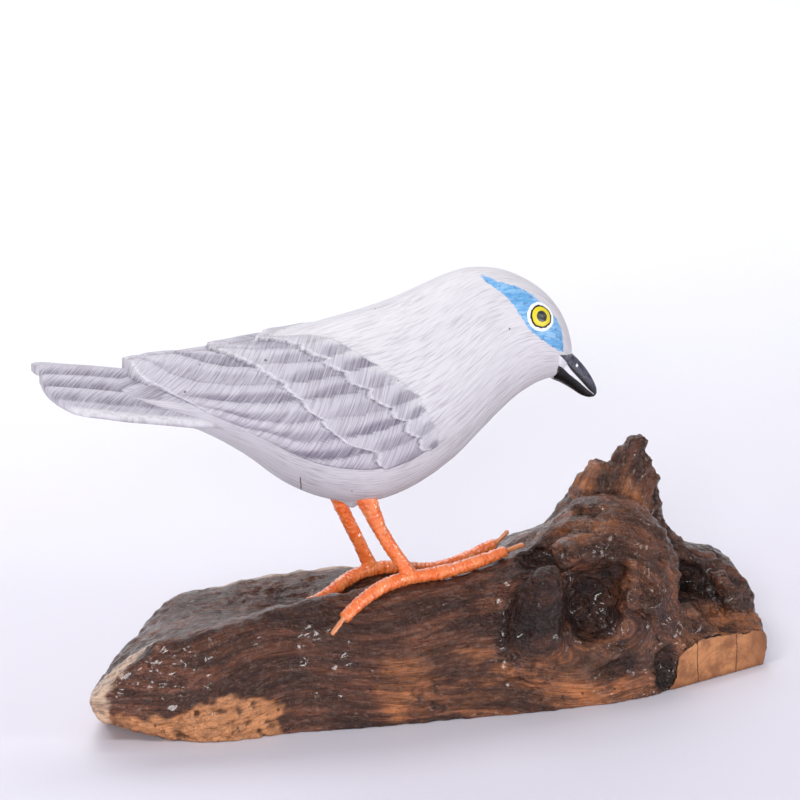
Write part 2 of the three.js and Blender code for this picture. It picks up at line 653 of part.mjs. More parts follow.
// One leg with its toes and claws, cut back where it meets the belly and the wood.
function legSolid({ leg, radii, toes, claws }, bellyGrown, woodGrown) {
  const solids = [rodSolid(leg, radii, LEG_SIDES, LEG_STEPS)];
  toes.forEach((route, i) => solids.push(...toeSolids(route, claws[i])));
  return joined(solids).subtract(bellyGrown).subtract(woodGrown);
}

// The biggest body of a solid, as a named mesh.
function meshFrom(name, solid, material) {
  const bodies = solid.decompose().sort((a, b) => b.volume() - a.volume());
  const { vertProperties, triVerts } = bodies[0].getMesh();
  const geometry = new THREE.BufferGeometry();
  geometry.setAttribute("position", new THREE.BufferAttribute(new Float32Array(vertProperties), 3));
  geometry.setIndex(new THREE.BufferAttribute(new Uint32Array(triVerts), 1));
  geometry.computeVertexNormals();
  const mesh = new THREE.Mesh(geometry, material);
  mesh.name = name;
  return mesh;
}

const whitePaint = new THREE.MeshStandardMaterial({ color: 0xdedbe5, roughness: 0.5, metalness: 0 });
const orangePaint = new THREE.MeshStandardMaterial({ color: 0xe16e32, roughness: 0.35, metalness: 0 });
const varnishedWood = new THREE.MeshStandardMaterial({ color: 0x5d403d, roughness: 0.3, metalness: 0 });

const bellyGrown = bodySolid(CUT_BACK);
const woodGrown = woodSolid(CUT_BACK);

const carving = new THREE.Group();
carving.add(meshFrom("bird", birdSolid(), whitePaint));
carving.add(meshFrom("driftwood_base", woodSolid(), varnishedWood));
for (const [name, shape] of Object.entries(LEGS)) {
  carving.add(meshFrom(name, legSolid(shape, bellyGrown, woodGrown), orangePaint));
}

export default carving;
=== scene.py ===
"""A carved and painted songbird that stands on varnished driftwood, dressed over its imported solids.

Sizes in the classes are millimetres with +X towards the bill, +Y towards the bird's left side and +Z up.
Meshes are made in metres, in the frame's own place.
"""

from __future__ import annotations

import logging
from dataclasses import dataclass, field
from enum import Enum

import bmesh
import bpy
import numpy as np
from mathutils import Euler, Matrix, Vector, kdtree

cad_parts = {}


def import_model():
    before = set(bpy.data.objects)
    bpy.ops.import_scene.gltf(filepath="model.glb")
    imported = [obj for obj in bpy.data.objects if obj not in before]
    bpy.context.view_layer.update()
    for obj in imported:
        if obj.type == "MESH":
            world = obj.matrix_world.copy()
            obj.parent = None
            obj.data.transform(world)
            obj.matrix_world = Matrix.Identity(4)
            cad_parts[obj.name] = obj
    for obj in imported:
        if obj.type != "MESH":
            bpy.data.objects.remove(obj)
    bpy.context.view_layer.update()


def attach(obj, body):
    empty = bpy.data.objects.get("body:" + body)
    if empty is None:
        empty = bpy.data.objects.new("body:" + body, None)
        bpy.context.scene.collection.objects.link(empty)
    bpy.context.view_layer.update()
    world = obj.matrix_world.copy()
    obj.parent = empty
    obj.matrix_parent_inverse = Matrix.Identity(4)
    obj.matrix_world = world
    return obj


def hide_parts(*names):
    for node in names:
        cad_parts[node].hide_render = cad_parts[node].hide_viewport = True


LOG = logging.getLogger("bird_carving")
MM = 0.001
PER_METRE = 1000.0
BODY = "root"
FAR = 1e9
NEAR_ZERO = 1e-9
NARROWEST = 1e-3
# spread in millimetres of the rounding of a table's corners
ROUNDING = 3.5
# how far the dome at a rod's end stands out, in radii
DOME = 0.55
# direction that the rings of a rod are turned by, which no rod here runs along
RING_START = (0.0, 1.0, 0.1)

Array = np.ndarray
Colour = tuple[float, float, float, float]
Point = tuple[float, float, float]
Span = tuple[float, float]
Pairs = tuple[Span, ...]


def paint(*levels: int) -> Colour:
    """Turns an sRGB colour into a linear one.

    Args:
        levels: Red, green and blue, 0 to 255.

    Returns:
        The linear colour with full alpha.
    """
    share = np.array(levels) / 255.0
    linear = np.where(share <= 0.04045, share / 12.92, ((share + 0.055) / 1.055) ** 2.4)
    return (*linear.tolist(), 1.0)


def smooth(low: float | Array, high: float | Array, at: Array) -> Array:
    """Rises softly from 0 at low to 1 at high."""
    share = np.clip((at - low) / (high - low), 0.0, 1.0)
    return share * share * (3.0 - 2.0 * share)


def fall(low: float | Array, high: float | Array, at: Array) -> Array:
    """Falls softly from 1 at low to 0 at high."""
    return 1.0 - smooth(low, high, at)


def lerp(start: Array | float, end: Array | float, share: Array | float) -> Array:
    """Mixes two values by a share of 0 to 1."""
    return start + (end - start) * share


def table(pairs: Pairs, at: Array) -> Array:
    """Reads a table of pairs, straight between its entries."""
    places, values = zip(*pairs)
    return np.interp(at, places, values)


def rounded_table(pairs: Pairs, at: Array) -> Array:
    """Reads a table of pairs with its corners rounded.

    Args:
        pairs: Places and values, in rising order of place.
        at: Places to read.

    Returns:
        A value for each place.
    """
    places = np.arange(pairs[0][0] - 20.0, pairs[-1][0] + 20.0, 0.5)
    kernel = np.exp(-0.5 * (np.arange(-24, 25) * 0.5 / ROUNDING) ** 2)
    values = np.convolve(np.pad(table(pairs, places), 24, mode="edge"), kernel / kernel.sum(), mode="valid")
    return np.interp(at, places, values)


def across_spans(bounds: list[Array] | tuple[float, ...], at: Array, beyond: float) -> Array:
    """Finds how far places are across the spans that they lie in.

    Args:
        bounds: Edges between the spans, in rising order.
        at: Places.
        beyond: The value for a place outside the spans.

    Returns:
        A share for each place, 0 at its span's start and 1 at its end.
    """
    share = np.full(at.shape, beyond)
    for low, high in zip(bounds[:-1], bounds[1:]):
        share = np.where((at >= low) & (at < high), (at - low) / np.maximum(high - low, NARROWEST), share)
    return share


def catmull_rom(knots: list[Array], part: Array) -> Array:
    """Reads a Catmull-Rom curve at a part of the way from the second to the third of four knots.

    Args:
        knots: The four knots, each with one row for each point that is read.
        part: Share of the way between the two middle knots.

    Returns:
        The points on the curve.
    """
    p0, p1, p2, p3 = knots
    return 0.5 * (
        2.0 * p1 + (p2 - p0) * part + (2.0 * p0 - 5.0 * p1 + 4.0 * p2 - p3) * part**2
        + (3.0 * p1 - p0 - 3.0 * p2 + p3) * part**3
    )


def span_distance(points: Array, start: Array, end: Array) -> Array:
    """Distance of points from a straight span, in as many dimensions as it has.

    Args:
        points: Points, one row each.
        start: One end of the span.
        end: Its other end.

    Returns:
        A distance for each point.
    """
    edge, offset = end - start, points - start
    share = np.clip(offset @ edge / (edge @ edge), 0.0, 1.0)
    return np.linalg.norm(offset - share[:, None] * edge, axis=1)


def path_distance(points: Array, path: Array) -> Array:
    """Distance of points from an open path of straight spans."""
    return np.min([span_distance(points, a, b) for a, b in zip(path[:-1], path[1:])], axis=0)


def polygon_distance(points: Array, corners: Pairs) -> Array:
    """Signed distance of plane points from a closed outline.

    Args:
        points: Points, one row of two numbers each.
        corners: Corners of the outline in order.

    Returns:
        The distance to the outline, negative inside it.
    """
    ends = np.array(corners)
    nearest = np.full(len(points), FAR)
    inside = np.zeros(len(points), dtype=bool)
    for a, b in zip(ends, np.roll(ends, -1, axis=0)):
        nearest = np.minimum(nearest, span_distance(points, a, b))
        crosses = (a[1] > points[:, 1]) != (b[1] > points[:, 1])
        rise = b[1] - a[1] if abs(b[1] - a[1]) > NEAR_ZERO else NEAR_ZERO
        inside ^= crosses & (points[:, 0] < a[0] + (points[:, 1] - a[1]) * (b[0] - a[0]) / rise)
    return np.where(inside, -nearest, nearest)


class Noise:
    """Gradient noise of three dimensions with a fixed seed."""

    def __init__(self, seed: int) -> None:
        """Draws the lattice's order and its gradients.

        Args:
            seed: Seed of the draws.
        """
        generator = np.random.default_rng(seed)
        self.order = generator.permutation(256)
        directions = generator.normal(size=(256, 3))
        self.directions = directions / np.linalg.norm(directions, axis=1, keepdims=True)

    def at(self, points: Array) -> Array:
        """Noise of about -1 to 1 at points, with one bump to a unit of length.

        Args:
            points: Points, one row of three numbers each.

        Returns:
            A value for each point.
        """
        cell = np.floor(points).astype(int)
        offset = points - cell
        fade = offset**3 * (offset * (offset * 6.0 - 15.0) + 10.0)
        total = np.zeros(len(points))
        for corner in np.ndindex(2, 2, 2):
            at = (cell + corner) & 255
            pick = self.order[(self.order[(self.order[at[:, 0]] + at[:, 1]) & 255] + at[:, 2]) & 255]
            value = np.einsum("ij,ij->i", self.directions[pick], offset - corner)
            share = np.prod(np.where(np.array(corner) == 1, fade, 1.0 - fade), axis=1)
            total += value * share
        return total * 1.5

    def layered(self, points: Array, layers: int) -> Array:
        """Adds layers of the noise, each twice as fine and half as strong as the one before."""
        return sum(0.5**layer * self.at(points * 2.0**layer + 17.3 * layer) for layer in range(layers))

    def ridged(self, points: Array, layers: int) -> Array:
        """Noise of 0 to 1 with sharp ridges, as worn grain has."""
        ridges = [0.5**k * (1.0 - np.abs(self.at(points * 2.0**k + 9.1 * k))) for k in range(layers)]
        return sum(ridges) / sum(0.5**k for k in range(layers))


def grid_quads(rows: int, columns: int, closed: bool) -> Array:
    """Faces of a grid of points.

    Args:
        rows: Number of rows.
        columns: Number of points in a row.
        closed: Whether each row is a ring.

    Returns:
        Four point numbers for each face.
    """
    across = columns if closed else columns - 1
    i, j = np.meshgrid(np.arange(rows - 1) * columns, np.arange(across), indexing="ij")
    following = (j + 1) % columns
    return np.stack([i + j, i + following, i + columns + following, i + columns + j], -1).reshape(-1, 4)


def capped(rings: Array, first: Array, last: Array) -> tuple[Array, list[list[int]]]:
    """Closes a tube with a fan of faces at each end.

    Args:
        rings: Points of the tube, by ring and by place in the ring.
        first: Middle of the first end.
        last: Middle of the other end.

    Returns:
        The points, with the two middles after the rings, and the faces.
    """
    rows, columns = rings.shape[:2]
    count = rows * columns
    faces = grid_quads(rows, columns, True).tolist()
    faces += [[count, (j + 1) % columns, j] for j in range(columns)]
    faces += [[count + 1, count - columns + j, count - columns + (j + 1) % columns] for j in range(columns)]
    return np.vstack([rings.reshape(-1, 3), first, last]), faces


def in_scene(name: str, data: bpy.types.ID) -> bpy.types.Object:
    """Makes an object of a mesh, a curve, a light or a camera, and puts it in the scene.

    Args:
        name: Name of the object.
        data: The mesh, curve, light or camera.

    Returns:
        The object.
    """
    piece = bpy.data.objects.new(name, data)
    bpy.context.scene.collection.objects.link(piece)
    return piece


def facing(at: Point, aim: Point) -> Euler:
    """The turn of a light or a camera that looks from one place to another."""
    return (Vector(aim) - Vector(at)).to_track_quat("-Z", "Y").to_euler()


@dataclass
class Surface:
    """Points, faces and point values of a mesh that is being made, in millimetres."""

    points: Array
    faces: list[list[int]]
    values: dict[str, Array] = field(default_factory=dict)

    def volume(self) -> float:
        """Signed volume, positive where the faces point outwards.

        Returns:
            The volume in cubic millimetres.
        """
        total = 0.0
        for face in self.faces:
            a = self.points[face[0]]
            for b, c in zip(face[1:-1], face[2:]):
                total += float(np.dot(a, np.cross(self.points[b], self.points[c])))
        return total / 6.0

    def outwards(self) -> "Surface":
        """Turns the faces outwards.

        Returns:
            The same surface.
        """
        if self.volume() < 0.0:
            self.faces = [face[::-1] for face in self.faces]
        return self

    def to_object(self, name: str) -> bpy.types.Object:
        """Makes the mesh object, in metres, with its values as point attributes.

        Args:
            name: Name of the mesh and of its object.

        Returns:
            The object, in the scene.
        """
        mesh = bpy.data.meshes.new(name)
        mesh.from_pydata((self.points * MM).tolist(), [], self.faces)
        write_values(mesh, self.values)
        mesh.shade_smooth()
        return in_scene(name, mesh)


def write_values(mesh: bpy.types.Mesh, values: dict[str, Array]) -> None:
    """Writes point attributes, one number or three for each point.

    Args:
        mesh: The mesh.
        values: Numbers or vectors by name, one for each point.
    """
    for name, data in values.items():
        kind = "FLOAT" if data.ndim == 1 else "FLOAT_VECTOR"
        attribute = mesh.attributes.new(name, kind, "POINT")
        attribute.data.foreach_set("value" if data.ndim == 1 else "vector", data.astype(np.float32).ravel())


def rows_of_three(source: bpy.types.bpy_prop_collection, name: str) -> Array:
    """Reads a vector of each item of a collection.

    Args:
        source: The collection.
        name: Name of the vector.

    Returns:
        The vectors, one row each.
    """
    flat = np.empty(len(source) * 3, dtype=np.float32)
    source.foreach_get(name, flat)
    return flat.reshape(-1, 3).astype(float)


def mesh_points(mesh: bpy.types.Mesh) -> Array:
    """The points of a mesh in millimetres."""
    return rows_of_three(mesh.vertices, "co") / MM


def mesh_normals(mesh: bpy.types.Mesh) -> Array:
    """The point normals of a mesh."""
    return rows_of_three(mesh.vertex_normals, "vector")


def set_points(mesh: bpy.types.Mesh, points: Array) -> None:
    """Moves the points of a mesh to new places in millimetres."""
    mesh.vertices.foreach_set("co", (points * MM).astype(np.float32).ravel())
    mesh.update()


def plain_mesh(piece: bpy.types.Object) -> bpy.types.Mesh:
    """The mesh of a piece as its modifiers leave it."""
    return bpy.data.meshes.new_from_object(piece.evaluated_get(bpy.context.evaluated_depsgraph_get()))


def applied(piece: bpy.types.Object) -> None:
    """Turns a piece with live modifiers into a plain mesh.

    Args:
        piece: The piece, which keeps its name and its place.
    """
    mesh = plain_mesh(piece)
    piece.modifiers.clear()
    piece.data = mesh


def removed(piece: bpy.types.Object) -> None:
    """Deletes a helper object."""
    bpy.data.objects.remove(piece, do_unlink=True)


def joined(pieces: list[bpy.types.Object]) -> bpy.types.Object:
    """Joins closed pieces into the first of them with exact unions.

    Args:
        pieces: Closed mesh objects.

    Returns:
        The first one, with the others in it.
    """
    first, *others = pieces
    for other in others:
        union = first.modifiers.new("union", "BOOLEAN")
        union.operation = "UNION"
        union.solver = "MANIFOLD"
        union.object = other
    applied(first)
    for other in others:
        removed(other)
    return first


Section = tuple[float, float, float, float, float]


@dataclass
class Loft:
    """A body drawn through sections: each gives the x and z of its top and its bottom, and its half width."""

    sections: tuple[Section, ...]

    def __post_init__(self) -> None:
        """Samples the middle of the sections, to find the place of an x."""
        self.rows = np.array(self.sections)
        self.last = len(self.sections) - 1
        self.places = np.linspace(0.0, self.last, 1200)
        read = self.section(self.places)
        self.middles = (read[:, 0] + read[:, 2]) / 2.0

    def section(self, place: Array) -> Array:
        """Sections at fractional places in the list, by a Catmull-Rom curve.

        Args:
            place: Place in the list of sections.

        Returns:
            The five numbers of a section there.
        """
        first = np.clip(np.floor(place).astype(int), 0, self.last - 1)
        knots = [self.rows[np.clip(first + k, 0, self.last)] for k in (-1, 0, 1, 2)]
        return catmull_rom(knots, (place - first)[..., None])

    def place_at(self, x: Array) -> Array:
        """The place in the list of sections whose middle lies at x."""
        return np.interp(x, self.middles, self.places)

    def x_at(self, place: Array) -> Array:
        """The x of the middle of the section at a place."""
        return np.interp(place, self.places, self.middles)

    def point(self, place: Array, degrees: Array, rise: Array | float = 0.0) -> Array:
        """Points on the loft.

        Args:
            place: Place in the list of sections.
            degrees: Angle from the top, negative over the bird's left side and positive over its right.
            rise: How far the point stands off the loft.

        Returns:
            The points.
        """
        read = self.section(place)
        reach = (read[..., 0:2] - read[..., 2:4]) / 2.0
        height = np.hypot(reach[..., 0], reach[..., 1])
        angle = np.radians(degrees)
        up = (height + rise) / height * np.cos(angle)
        middle = (read[..., 0:2] + read[..., 2:4]) / 2.0
        side = -(read[..., 4] + rise) * np.sin(angle)
        return np.stack([middle[..., 0] + reach[..., 0] * up, side, middle[..., 1] + reach[..., 1] * up], -1)


BODY_SECTIONS: tuple[Section, ...] = (
    (-114, 119.5, -114, 113.5, 6), (-104, 121, -104, 108.5, 10.5), (-92, 122.3, -92, 103.8, 14),
    (-80, 123.6, -80, 98.6, 17), (-66, 125.8, -66, 89.7, 20.5), (-52, 128.3, -52, 78.6, 23.5),
    (-38, 131.3, -38, 71.9, 25.5), (-24, 134, -24, 69.6, 26), (-12, 137, -10, 72.8, 25),
    (-2, 140.6, 4, 80.2, 22.6), (6, 143.6, 14, 88.2, 19.8), (13, 145.2, 22, 95, 17.6),
    (20, 145, 29, 100.4, 16.2), (27, 143.4, 35, 103.6, 15.2), (34, 140, 39, 105, 14),
    (40, 135.6, 42, 105.6, 12.5), (44.5, 130.4, 44, 106.2, 10.5), (47.5, 124.8, 45.3, 107, 8.3),
    (49.2, 119.4, 47, 108.4, 6.2), (49.6, 116, 48.4, 110.6, 4.5),
)
BILL_SECTIONS: tuple[Section, ...] = (
    (46.5, 116, 41.2, 107.6, 5.4), (49.4, 114.2, 43.4, 104.9, 5), (52.4, 111.6, 47, 103, 4.1),
    (55.6, 108, 50.8, 100.6, 3.1), (58.4, 103.9, 54.2, 98.2, 2.2), (60.1, 100.4, 57, 97, 1.3),
    (60.4, 98.4, 59, 96.9, 0.7),
)


@dataclass
class Wings:
    """The carved wings as a rise over the body: feather lines, rows of feathers and edges.

    Tables give an x for an angle from the top, and the feather lines give an angle for an x.
    """

    feather_lines: tuple[Pairs, ...] = (
        ((-80, 0), (-72, 10), (-64, 22), (-55, 26), (-41, 25), (-8, 25)),
        ((-90, 0), (-82, 26), (-75, 37), (-68, 40), (-46, 43), (-36, 40), (-8, 39)),
        ((-102, 2), (-94, 40), (-86, 55), (-76, 61), (-60, 59), (-48, 57), (-30, 53), (-8, 52)),
        ((-103, 50), (-93, 76), (-83, 80), (-74, 80), (-64, 77), (-55, 71), (-41, 68), (-21, 66), (-8, 66)),
        ((-103, 80), (-88, 91), (-80, 94), (-71, 97), (-60, 92), (-48, 83), (-34, 81), (-15, 79), (-8, 79)),
        ((-103, 100), (-72, 109), (-67, 106), (-56, 103), (-49, 99), (-40, 94), (-26, 91), (-8, 89)),
        ((-103, 118), (-57, 116), (-45, 111), (-34, 105), (-23, 103), (-8, 103)),
        ((-103, 130), (-57, 126), (-45, 120), (-8, 117)),
    )
    rear: Pairs = (
        (3, -105.6), (24, -105.4), (40, -104), (51, -102), (64, -98), (78, -93.6), (92, -87.6),
        (103, -82.4), (109, -76), (113, -69), (116, -58),
    )
    steps: tuple[Pairs, ...] = (
        ((3, -78), (37, -69), (55, -61.5), (69, -56), (83, -49), (97, -41), (102, -31), (116, -26)),
        ((3, -60), (19, -53), (32, -49), (47, -43), (60, -37), (72, -30), (87, -21), (103, -15), (116, -10)),
    )
    front: Pairs = (
        (3, -56), (10, -52), (15, -46), (25, -40), (39, -34), (52, -28), (66, -20), (79, -14), (89, -12),
        (103, -8), (116, -7),
    )
    scallops: Span = (2.2, 3.6)
    top_edge: float = 3.0
    lower_edge: float = 116.0
    edge_rise: float = 2.0
    tip_rise: float = 4.6
    groove_depth: float = 0.75
    row_lift: float = 0.75
    row_fall: float = 9.0

    def feather(self, x: Array, angle: Array) -> Array:
        """How far across its feather a point is: 0 at the feather's upper line, 1 at its lower one."""
        return across_spans([table(line, x) for line in self.feather_lines], angle, 0.5)

    def feather_number(self, x: Array, angle: Array) -> Array:
        """Counts the feathers from the top down."""
        return np.sum([angle >= table(line, x) for line in self.feather_lines], axis=0)

    def crown(self, x: Array, angle: Array) -> Array:
        """Height across a feather: 0 in the cuts at its two sides, 1 on its crown."""
        share = self.feather(x, angle)
        return np.sin(np.pi * share**0.9) ** 0.6

    def edges(self, angle: Array) -> list[Array]:
        """The x of the rear edge, of the two steps between rows and of the front edge, at an angle.

        Args:
            angle: Degrees from the top.

        Returns:
            Four arrays of x, from the rear to the front.
        """
        clipped = np.clip(angle, self.top_edge, self.lower_edge)
        rear = table(self.rear, clipped)
        front = table(self.front, clipped)
        marks = [rear]
        for step, scallop in zip(self.steps, self.scallops):
            at = table(step, clipped) + 0.4 * np.sin(clipped * 1.9) + 0.3 * np.sin(clipped * 4.3)
            marks.append(at + scallop * (1.0 - self.crown(at, clipped)) - scallop * 0.4)
        marks[2] = np.minimum(marks[2], front - 1.5)
        marks[1] = np.minimum(marks[1], marks[2] - 1.5)
        return [*marks, front]

    def rise(self, band: int, x: Array, angle: Array) -> Array:
        """How far the wing stands off the body.

        Args:
            band: Row of feathers, 0 at the rear, or 3 for the run-out in front of the wing.
            x: Place along the body.
            angle: Degrees from the top.

        Returns:
            The rise at each point.
        """
        rear, first, second, front = self.edges(angle)
        toward_tip = fall(-104.0, -70.0, x)
        toward_top = lerp(1.0, 0.12, smooth(6.0, 60.0, angle))
        level = lerp(self.edge_rise, self.tip_rise, toward_tip * toward_top)
        base = level * fall(front - 26.0, front + 5.0, x) + 0.35 * min(band, 2) * (x < front)
        start = (rear, first, second, second)[band]
        lift = self.row_lift * np.exp(-np.maximum(x - start, 0.0) / self.row_fall) * (0 < band < 3)
        depth = self.groove_depth * (1.0 - smooth(front - 4.0, front + 3.0, x) * 0.9)
        cut = depth * (1.0 - self.crown(x, angle))
        runout = 0.7 * fall(front, front + 5.0, x) * (band == 3)
        return np.maximum(base + lift + runout - cut, -0.5)

    def wash_and_shade(self, x: Array, angle: Array) -> Array:
        """Strength of the grey wash on the lower part of each feather, 0 to 1: partly real wash and partly
        painted shade where the feather curves down into its cut.

        Args:
            x: Place along the body.
            angle: Degrees from the top.

        Returns:
            A strength for each point.
        """
        share = self.feather(x, angle)
        marks = self.edges(angle)
        along = across_spans(marks, x, 0.0)
        ahead = fall(marks[-1] - 1.0, marks[-1] + 3.0, x)
        start = lerp(0.78, 0.42, smooth(0.0, 0.75, along)) + 0.2 * smooth(0.92, 1.0, along)
        band = smooth(start - 0.12, start + 0.2, share) * smooth(0.0, 0.3, along)
        return band * ahead * (x > marks[0])

    def lines(self, x: Array, angle: Array) -> tuple[Array, Array]:
        """Thin lines of the wing: dark lines of paint and painted shade, and pale edges.

        Args:
            x: Place along the body.
            angle: Degrees from the top.

        Returns:
            Strengths of the dark lines in the cuts and behind the rows, which are dark paint and painted
            shade together, and of the rows' pale edges, 0 to 1.
        """
        marks = self.edges(angle)
        on_wing = (x > marks[0]) * fall(marks[-1] - 6.0, marks[-1] + 1.0, x)
        ink_and_shade = 0.5 * (1.0 - self.crown(x, angle)) ** 2.4 * on_wing
        pale = np.zeros(x.shape)
        for mark in marks[:-1]:
            gap = x - mark
            # behind each row's step the dark line is dark paint and painted shade under the step
            ink_and_shade = np.maximum(ink_and_shade, np.exp(-((gap + 0.3) / 0.55) ** 2) * (gap < 0.1))
            pale = np.maximum(pale, np.exp(-(((gap - 0.8) / 0.7) ** 2)))
        return ink_and_shade, pale


@dataclass
class Tail:
    """The tail: a roof-shaped blade, lower on the bird's right side than on its left."""

    root_x: float = -78.0
    end_x: float = -135.0
    ridge: Pairs = ((-135, 126.3), (-121, 124.9), (-105, 122.1), (-88, 119.6), (-78, 118))
    right_slope: Pairs = ((-135, 0.6), (-118, 0.68), (-104, 0.76), (-88, 0.88))
    left_slope: Pairs = ((-135, 0.17), (-118, 0.24), (-104, 0.4), (-88, 0.9))
    half_width: Pairs = ((-135, 16.4), (-126, 17.4), (-112, 17), (-100, 15.8), (-90, 15), (-78, 14.4))
    ridge_thickness: float = 4.6
    edge_thickness: float = 2.0
    end_half: float = 17.0
    corner_radius: float = 11.0
    notch_depth: float = 2.2
    notch_share: float = 0.12
    grooves: tuple[float, ...] = (0.0, 0.22, 0.48, 0.78, 1.15)
    groove_depth: float = 0.5
    rows: int = 116
    columns: int = 74

    def marks(self, share: Array) -> dict[str, Array]:
        """Feathers across the tail: the height over their cuts and their values for the paint.

        Args:
            share: Place across the tail, -1 to 1.

        Returns:
            The crown, and the strengths of the wash and of the dark lines, both partly painted shade, the
            pale edge and the hatching.
        """
        across = np.abs(share)
        feather = across_spans(self.grooves, across, 0.0)
        crown = np.sin(np.pi * feather**0.9) ** 0.4
        crown = np.where(across > self.grooves[3], np.maximum(crown, smooth(0.0, 0.12, feather)), crown)
        return {
            "crown": crown,
            "wash_and_shade": np.where(across < self.grooves[3], 0.85 * smooth(0.15, 0.95, feather), 0.2),
            "ink_and_shade": 0.8 * (1.0 - crown) ** 2.4 * (across < 0.86),
            "pale": smooth(0.93, 0.98, across),
            "feathered": fall(0.9, 0.96, across),
        }

    def surface(self) -> Surface:
        """Makes the closed blade, with its values for the paint.

        Returns:
            The closed surface.
        """
        shares = np.linspace(-1.0, 1.0, self.columns)
        along = np.linspace(0.0, 1.0, self.rows) ** 0.9
        share, part = np.meshgrid(shares, along)
        beyond = np.clip((np.abs(share) - 1.0) * self.end_half / self.corner_radius + 1.0, 0.0, 1.0)
        corner = self.corner_radius * (1.0 - np.sqrt(1.0 - beyond**2))
        notch = self.notch_depth * np.clip(1.0 - np.abs(share) / self.notch_share, 0.0, 1.0)
        x = self.root_x + (self.end_x + corner + notch - self.root_x) * part
        y = share * rounded_table(self.half_width, x)
        slope = np.where(y < 0.0, table(self.right_slope, x), table(self.left_slope, x))
        z = rounded_table(self.ridge, x) - slope * np.abs(y)
        marks = self.marks(share)
        crown = marks.pop("crown")
        thickness = lerp(self.ridge_thickness, self.edge_thickness, np.abs(share) ** 0.7)
        thickness *= np.hypot(1.0, slope)
        rounding = 0.45 * smooth(0.94, 1.0, np.abs(share)) + 0.45 * smooth(0.975, 1.0, part)
        top = np.stack([x, y, z - self.groove_depth * (1.0 - crown) * smooth(0.0, 0.2, part) - rounding], -1)
        low = np.stack([x, y, z - thickness + rounding * 0.8], -1)
        count = self.rows * self.columns
        quads = grid_quads(self.rows, self.columns, False)
        faces = [*quads.tolist(), *(quads[:, ::-1] + count).tolist()]
        rim = [*range(self.columns - 1), *range(self.columns - 1, count - 1, self.columns),
               *range(count - 1, count - self.columns, -1), *range(count - self.columns, 0, -self.columns)]
        faces += [[b, a, a + count, b + count] for a, b in zip(rim, [*rim[1:], rim[0]])]
        points = np.concatenate([top.reshape(-1, 3), low.reshape(-1, 3)])
        side = np.sign(points[:, 1]) * 30.0
        values = {"surface": np.stack([points[:, 0], 21.0 + 1.8 * np.abs(points[:, 1]), side], -1) * MM}
        for name, data in marks.items():
            values[name] = np.concatenate([data.ravel(), np.zeros(count)])
        return Surface(points, faces, values).outwards()


